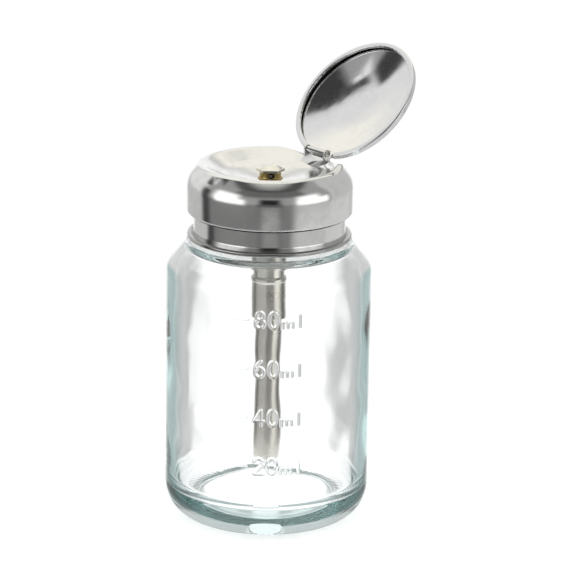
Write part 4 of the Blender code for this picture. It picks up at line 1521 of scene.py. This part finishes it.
# %% The pin
pin_radius = 0.45 * mm
pin_head = 0.8 * mm
pin_half = 3.8 * mm
head_length = 0.3 * mm
pin = turned("lid_pin", [
    (0, pin_half + head_length, 0),
    (pin_head, pin_half + head_length, 0.2 * mm),
    (pin_head, pin_half, 0.05 * mm),
    (pin_radius, pin_half, 0),
    (pin_radius, -pin_half, 0),
    (pin_head, -pin_half, 0.05 * mm),
    (pin_head, -pin_half - head_length, 0.2 * mm),
    (0, -pin_half - head_length, 0),
], closed=False, segments=48)
pin.data.transform(Matrix.Translation(hinge) @ Matrix.Rotation(math.pi / 2, 4, "Y"))
pin.data.materials.append(satin_steel)
shade(pin)
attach(pin, "press_head")
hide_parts("hinge_pin")
print(f"pin: {len(pin.data.polygons)} faces")

# %% [markdown]
# ## The hidden pieces
# The valves, the piston, the spring and the seals keep the frame's own shapes, because the
# cap and the cylinder hide them. They still get real finishes, for views of single pieces.

# %% Finishes for the frame's own pieces
hidden_finishes = {
    "neck_gasket": seal_plastic,
    "thread_insert": white_plastic,
    "pump_nut": satin_steel,
    "stem_guide": white_plastic,
    "inlet_seat": white_plastic,
    "inlet_ball": polished_steel,
    "stem": satin_steel,
    "piston": white_plastic,
    "piston_seal": black_rubber,
    "outlet_ball": polished_steel,
    "return_spring": satin_steel,
    "dish_washer": seal_plastic,
    "nozzle_seal": seal_plastic,
}
for name, finish in hidden_finishes.items():
    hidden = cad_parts[name]
    hidden.data.materials.clear()
    hidden.data.materials.append(finish)
print(f"{len(hidden_finishes)} pieces keep the frame's shape")

# %% [markdown]
# ## Floor, light and camera
# The picture is a plain product shot: white all round. Diffuse surfaces get an even, plain
# level of light. What glass and metal show is a studio that only reflected and refracted
# rays meet: white behind the object, greyer at the sides and in front, and two soft boxes.
# It is drawn by direction, so it stays with the object and not with the camera.

# %% A soft-edged patch of directions
def make_soft_box():
    """A mask that is 1 inside a soft-edged box of directions, all in degrees."""
    tree, inside, out = new_group("soft_box", "ShaderNodeTree", [
        ("Azimuth", FLOAT, 0.0),
        ("Elevation", FLOAT, 0.0),
        ("Centre azimuth", FLOAT, 0.0),
        ("Centre elevation", FLOAT, 0.0),
        ("Half width", FLOAT, 20.0),
        ("Half height", FLOAT, 15.0),
        ("Softness", FLOAT, 10.0),
    ], [("Mask", FLOAT)])
    value = inside.outputs
    aside = calc(tree, "SUBTRACT", value["Azimuth"], value["Centre azimuth"])
    aside = calc(tree, "ABSOLUTE", calc(tree, "WRAP", aside, 180.0, -180.0))
    above = calc(tree, "SUBTRACT", value["Elevation"], value["Centre elevation"])
    above = calc(tree, "ABSOLUTE", above)
    masks = []
    for distance, half in ((aside, value["Half width"]), (above, value["Half height"])):
        masks.append(ramp(tree, distance, half, calc(tree, "ADD", half, value["Softness"]), 1.0, 0.0))
    tree.links.new(calc(tree, "MULTIPLY", masks[0], masks[1]), out.inputs["Mask"])
    return tree


soft_box = make_soft_box()
print("patch tree:", soft_box.name)

# %% [markdown]
# Each patch of the studio has a name, the azimuth of its centre from the front, its elevation,
# its half width, half height and softness, all in degrees, and then its brightness and how
# warm it is. A later patch covers an earlier one. Metal and glass have a list each: the metal
# mirrors small patches clearly, while the thick round glass only shows broad upright bands.

# %% The studio that glass and metal see
METAL_STUDIO = [
    ("side of the room", 0, 0, 180, 90, 5, 0.60, 0.0),
    ("pale side behind left", -132, 35, 15, 30, 12, 0.88, 0.0),
    ("white behind", 180, 0, 16, 20, 12, 1.10, 0.0),
    ("front of the room", -6, 0, 97, 66, 3, 0.38, 0.0),
    ("low front", -34, -17, 62, 9, 8, 0.22, 0.0),
    ("dark edge on the left", -99, -6, 3, 20, 9, 0.06, 0.0),
    ("low middle", 1, -22, 8, 18, 8, 0.40, 0.0),
    ("low right", 90, -50, 45, 30, 15, 0.75, 0.0),
    ("high front", 0, 42, 48, 8, 14, 0.15, 0.0),
    ("left soft box, low", -58, 3, 18, 5, 10, 1.45, 0.0),
    ("left soft box, high", -64, 15, 10, 7, 17, 1.50, 0.0),
    ("right soft box, low", 62, 3, 20, 5, 9, 1.45, 0.0),
    ("right soft box, high", 56, 12, 8, 6, 17, 1.50, 0.0),
    ("camera side", 0, 6, 9, 9, 11, 0.02, 0.0),
    ("camera's stand", 0, -7, 14, 1, 8, 0.12, 0.0),
    ("dark rail", 0, 57, 85, 2, 5, 0.07, 0.0),
    ("dark corner behind left", -99, 49, 9, 4, 3, 0.05, 0.0),
    ("dark shelf behind left", -107, 42, 3, 3, 3, 0.08, 0.0),
    ("dark stand behind left", -110, 32, 4, 2, 3, 0.05, 0.0),
    ("pale strip behind left", -103, 39, 1, 2, 2, 0.95, 0.0),
    ("ceiling", 0, 90, 180, 18, 12, 1.05, 0.8),
    ("ceiling behind", -172, 55, 40, 18, 12, 1.10, 1.0),
]
GLASS_STUDIO = [
    ("side of the room", 0, 0, 180, 90, 5, 0.60, 0.0),
    ("left of the front", -78, -10, 18, 90, 10, 0.55, 0.0),
    ("middle of the front", 12, -10, 22, 90, 12, 0.16, 0.0),
    ("right of the front", 60, -10, 12, 90, 10, 1.30, 0.5),
    ("dark sides", 112, -10, 12, 90, 10, 0.12, 0.0),
    ("dark sides", -112, -10, 12, 90, 10, 0.12, 0.0),
    ("grey behind", 180, 0, 24, 90, 9, 0.64, 0.0),
    ("white behind", 180, 0, 5, 90, 4, 1.15, 0.0),
    ("ceiling", 0, 90, 180, 40, 12, 1.0, 0.0),
    ("table", 0, -90, 180, 60, 8, 1.2, 0.0),
]
WARM = (0.0, 0.02, 0.10)
BACKGROUND = 1.0
LOW_LIGHT = 0.48


def grey(level):
    """A grey of this level, as a colour."""
    return (level, level, level, 1)


def studio_colour(tree, azimuth, elevation, patches):
    """The colour of the studio in a direction, patch over patch."""
    colour = grey(0.0)
    for _, centre, height, half_width, half_height, softness, brightness, warmth in patches:
        patch = placed(tree, soft_box, Azimuth=azimuth, Elevation=elevation, Centre_azimuth=centre,
                       Centre_elevation=height, Half_width=half_width, Half_height=half_height,
                       Softness=softness)
        paint = (*(brightness * (1 - warmth * share) for share in WARM), 1)
        colour = blended(tree, patch.outputs[0], colour, paint)
    return colour


def make_world():
    """White for the camera, an even level for lighting, and the studio for glass and metal."""
    world = bpy.data.worlds.new("studio")
    world.use_nodes = True
    bpy.context.scene.world = world
    tree = world.node_tree
    tree.nodes.clear()
    direction = node(tree, "ShaderNodeTexCoord").outputs["Generated"]
    sockets = {"Vector": direction, "Rotation": (0, 0, -marks_turn)}
    from_front = node(tree, "ShaderNodeMapping", sockets).outputs[0]
    apart = node(tree, "ShaderNodeSeparateXYZ", {0: from_front})
    azimuth = calc(tree, "DEGREES", calc(tree, "ARCTAN2", apart.outputs[1], apart.outputs[0]))
    elevation = calc(tree, "DEGREES", calc(tree, "ARCSINE", apart.outputs[2]))
    in_metal = studio_colour(tree, azimuth, elevation, METAL_STUDIO)
    in_glass = studio_colour(tree, azimuth, elevation, GLASS_STUDIO)
    path = node(tree, "ShaderNodeLightPath")
    colour = blended(tree, path.outputs["Is Glossy Ray"], grey(LOW_LIGHT), in_metal)
    colour = blended(tree, path.outputs["Is Transmission Ray"], colour, in_glass)
    colour = blended(tree, path.outputs["Is Camera Ray"], colour, grey(BACKGROUND))
    light = node(tree, "ShaderNodeBackground", {"Color": colour, "Strength": 1.0})
    output = node(tree, "ShaderNodeOutputWorld")
    tree.links.new(light.outputs[0], output.inputs["Surface"])


make_world()
print(f"studio of {len(METAL_STUDIO)} patches for metal and {len(GLASS_STUDIO)} for glass")

# %% [markdown]
# The floor is a pale round sheet that takes the object's soft shadow. It glows a little for the
# camera, so that its edge can't be told from the white background. Rays that glass or metal
# send on pass through it, and meet the lower part of the drawn studio. Three square lamps
# light the floor and the plastics, and neither glass nor metal shows them.

# %% Floor and lamps
floor_radius = 150 * mm
floor_gap = 0.05 * mm
floor_grey = 0.92
floor_glow = 0.16
lamp_size = 0.5
lamp_target = Vector((0, 0, 60 * mm))

# The place of each lamp in metres, and its power in watts
LAMPS = {
    "left_lamp": ((0.10, -0.75, 0.75), 3.9),
    "right_lamp": ((0.75, 0.25, 0.70), 3.9),
    "back_lamp": ((-0.55, 0.45, 0.80), 3.1),
}


def make_floor():
    """A thin round floor just under the foot."""
    shape = bmesh.new()
    bmesh.ops.create_circle(shape, cap_ends=True, segments=96, radius=floor_radius)
    floor = piece_from("floor", shape)
    floor.data.transform(Matrix.Translation((0, 0, -floor_gap)))
    material, tree, shader = new_material("pale_floor")
    shader.inputs["Base Color"].default_value = grey(floor_grey)
    shader.inputs["Roughness"].default_value = 0.8
    shader.inputs["Specular IOR Level"].default_value = 0.1
    shader.inputs["Emission Color"].default_value = grey(1.0)
    path = node(tree, "ShaderNodeLightPath")
    glow = calc(tree, "MULTIPLY", path.outputs["Is Camera Ray"], floor_glow)
    tree.links.new(glow, shader.inputs["Emission Strength"])
    passed_on = calc(tree, "MAXIMUM", path.outputs["Is Glossy Ray"], path.outputs["Is Transmission Ray"])
    clear = node(tree, "ShaderNodeBsdfTransparent")
    mix = node(tree, "ShaderNodeMixShader", {0: passed_on})
    tree.links.new(shader.outputs[0], mix.inputs[1])
    tree.links.new(clear.outputs[0], mix.inputs[2])
    tree.links.new(mix.outputs[0], tree.nodes["Material Output"].inputs["Surface"])
    floor.data.materials.append(material)


def make_lamp(name, place, watts):
    """A square soft lamp that faces the bottle and lights only diffuse surfaces."""
    light = bpy.data.lights.new(name, "AREA")
    light.shape = "SQUARE"
    light.size = lamp_size
    light.energy = watts
    lamp = add_piece(name, light)
    lamp.location = place
    lamp.rotation_euler = (lamp_target - Vector(place)).to_track_quat("-Z", "Y").to_euler()
    lamp.visible_glossy = False
    lamp.visible_transmission = False


make_floor()
for name, (place, watts) in LAMPS.items():
    make_lamp(name, place, watts)
print("floor, and lamps:", ", ".join(LAMPS))

# %% [markdown]
# The camera stands where the photograph was taken from: in front of the marks, about 17
# degrees above the bottle, with a long lens. Its place and turn were worked out by fitting
# the turned outlines to the picture.
#
# Light turns back and forth inside the thick base before it leaves, more often than Blender
# follows it by default, so the number of bounces is raised.

# %% Camera and colour
light_bounces = 32
camera_turn = (73.389, -0.861, 48.930)
camera_data = bpy.data.cameras.new("camera")
camera_data.sensor_width = 36.0
camera_data.lens = 215.36
camera_data.clip_start = 0.05
camera_data.clip_end = 20.0
camera = add_piece("camera", camera_data)
camera.location = (612.87 * mm, -532.01 * mm, 298.52 * mm)
camera.rotation_euler = [math.radians(turn) for turn in camera_turn]
scene = bpy.context.scene
scene.camera = camera
scene.view_settings.view_transform = "Standard"
scene.cycles.max_bounces = light_bounces
scene.cycles.glossy_bounces = light_bounces
scene.cycles.transmission_bounces = light_bounces
print(f"camera {camera.location.length:.3f} m from the origin")
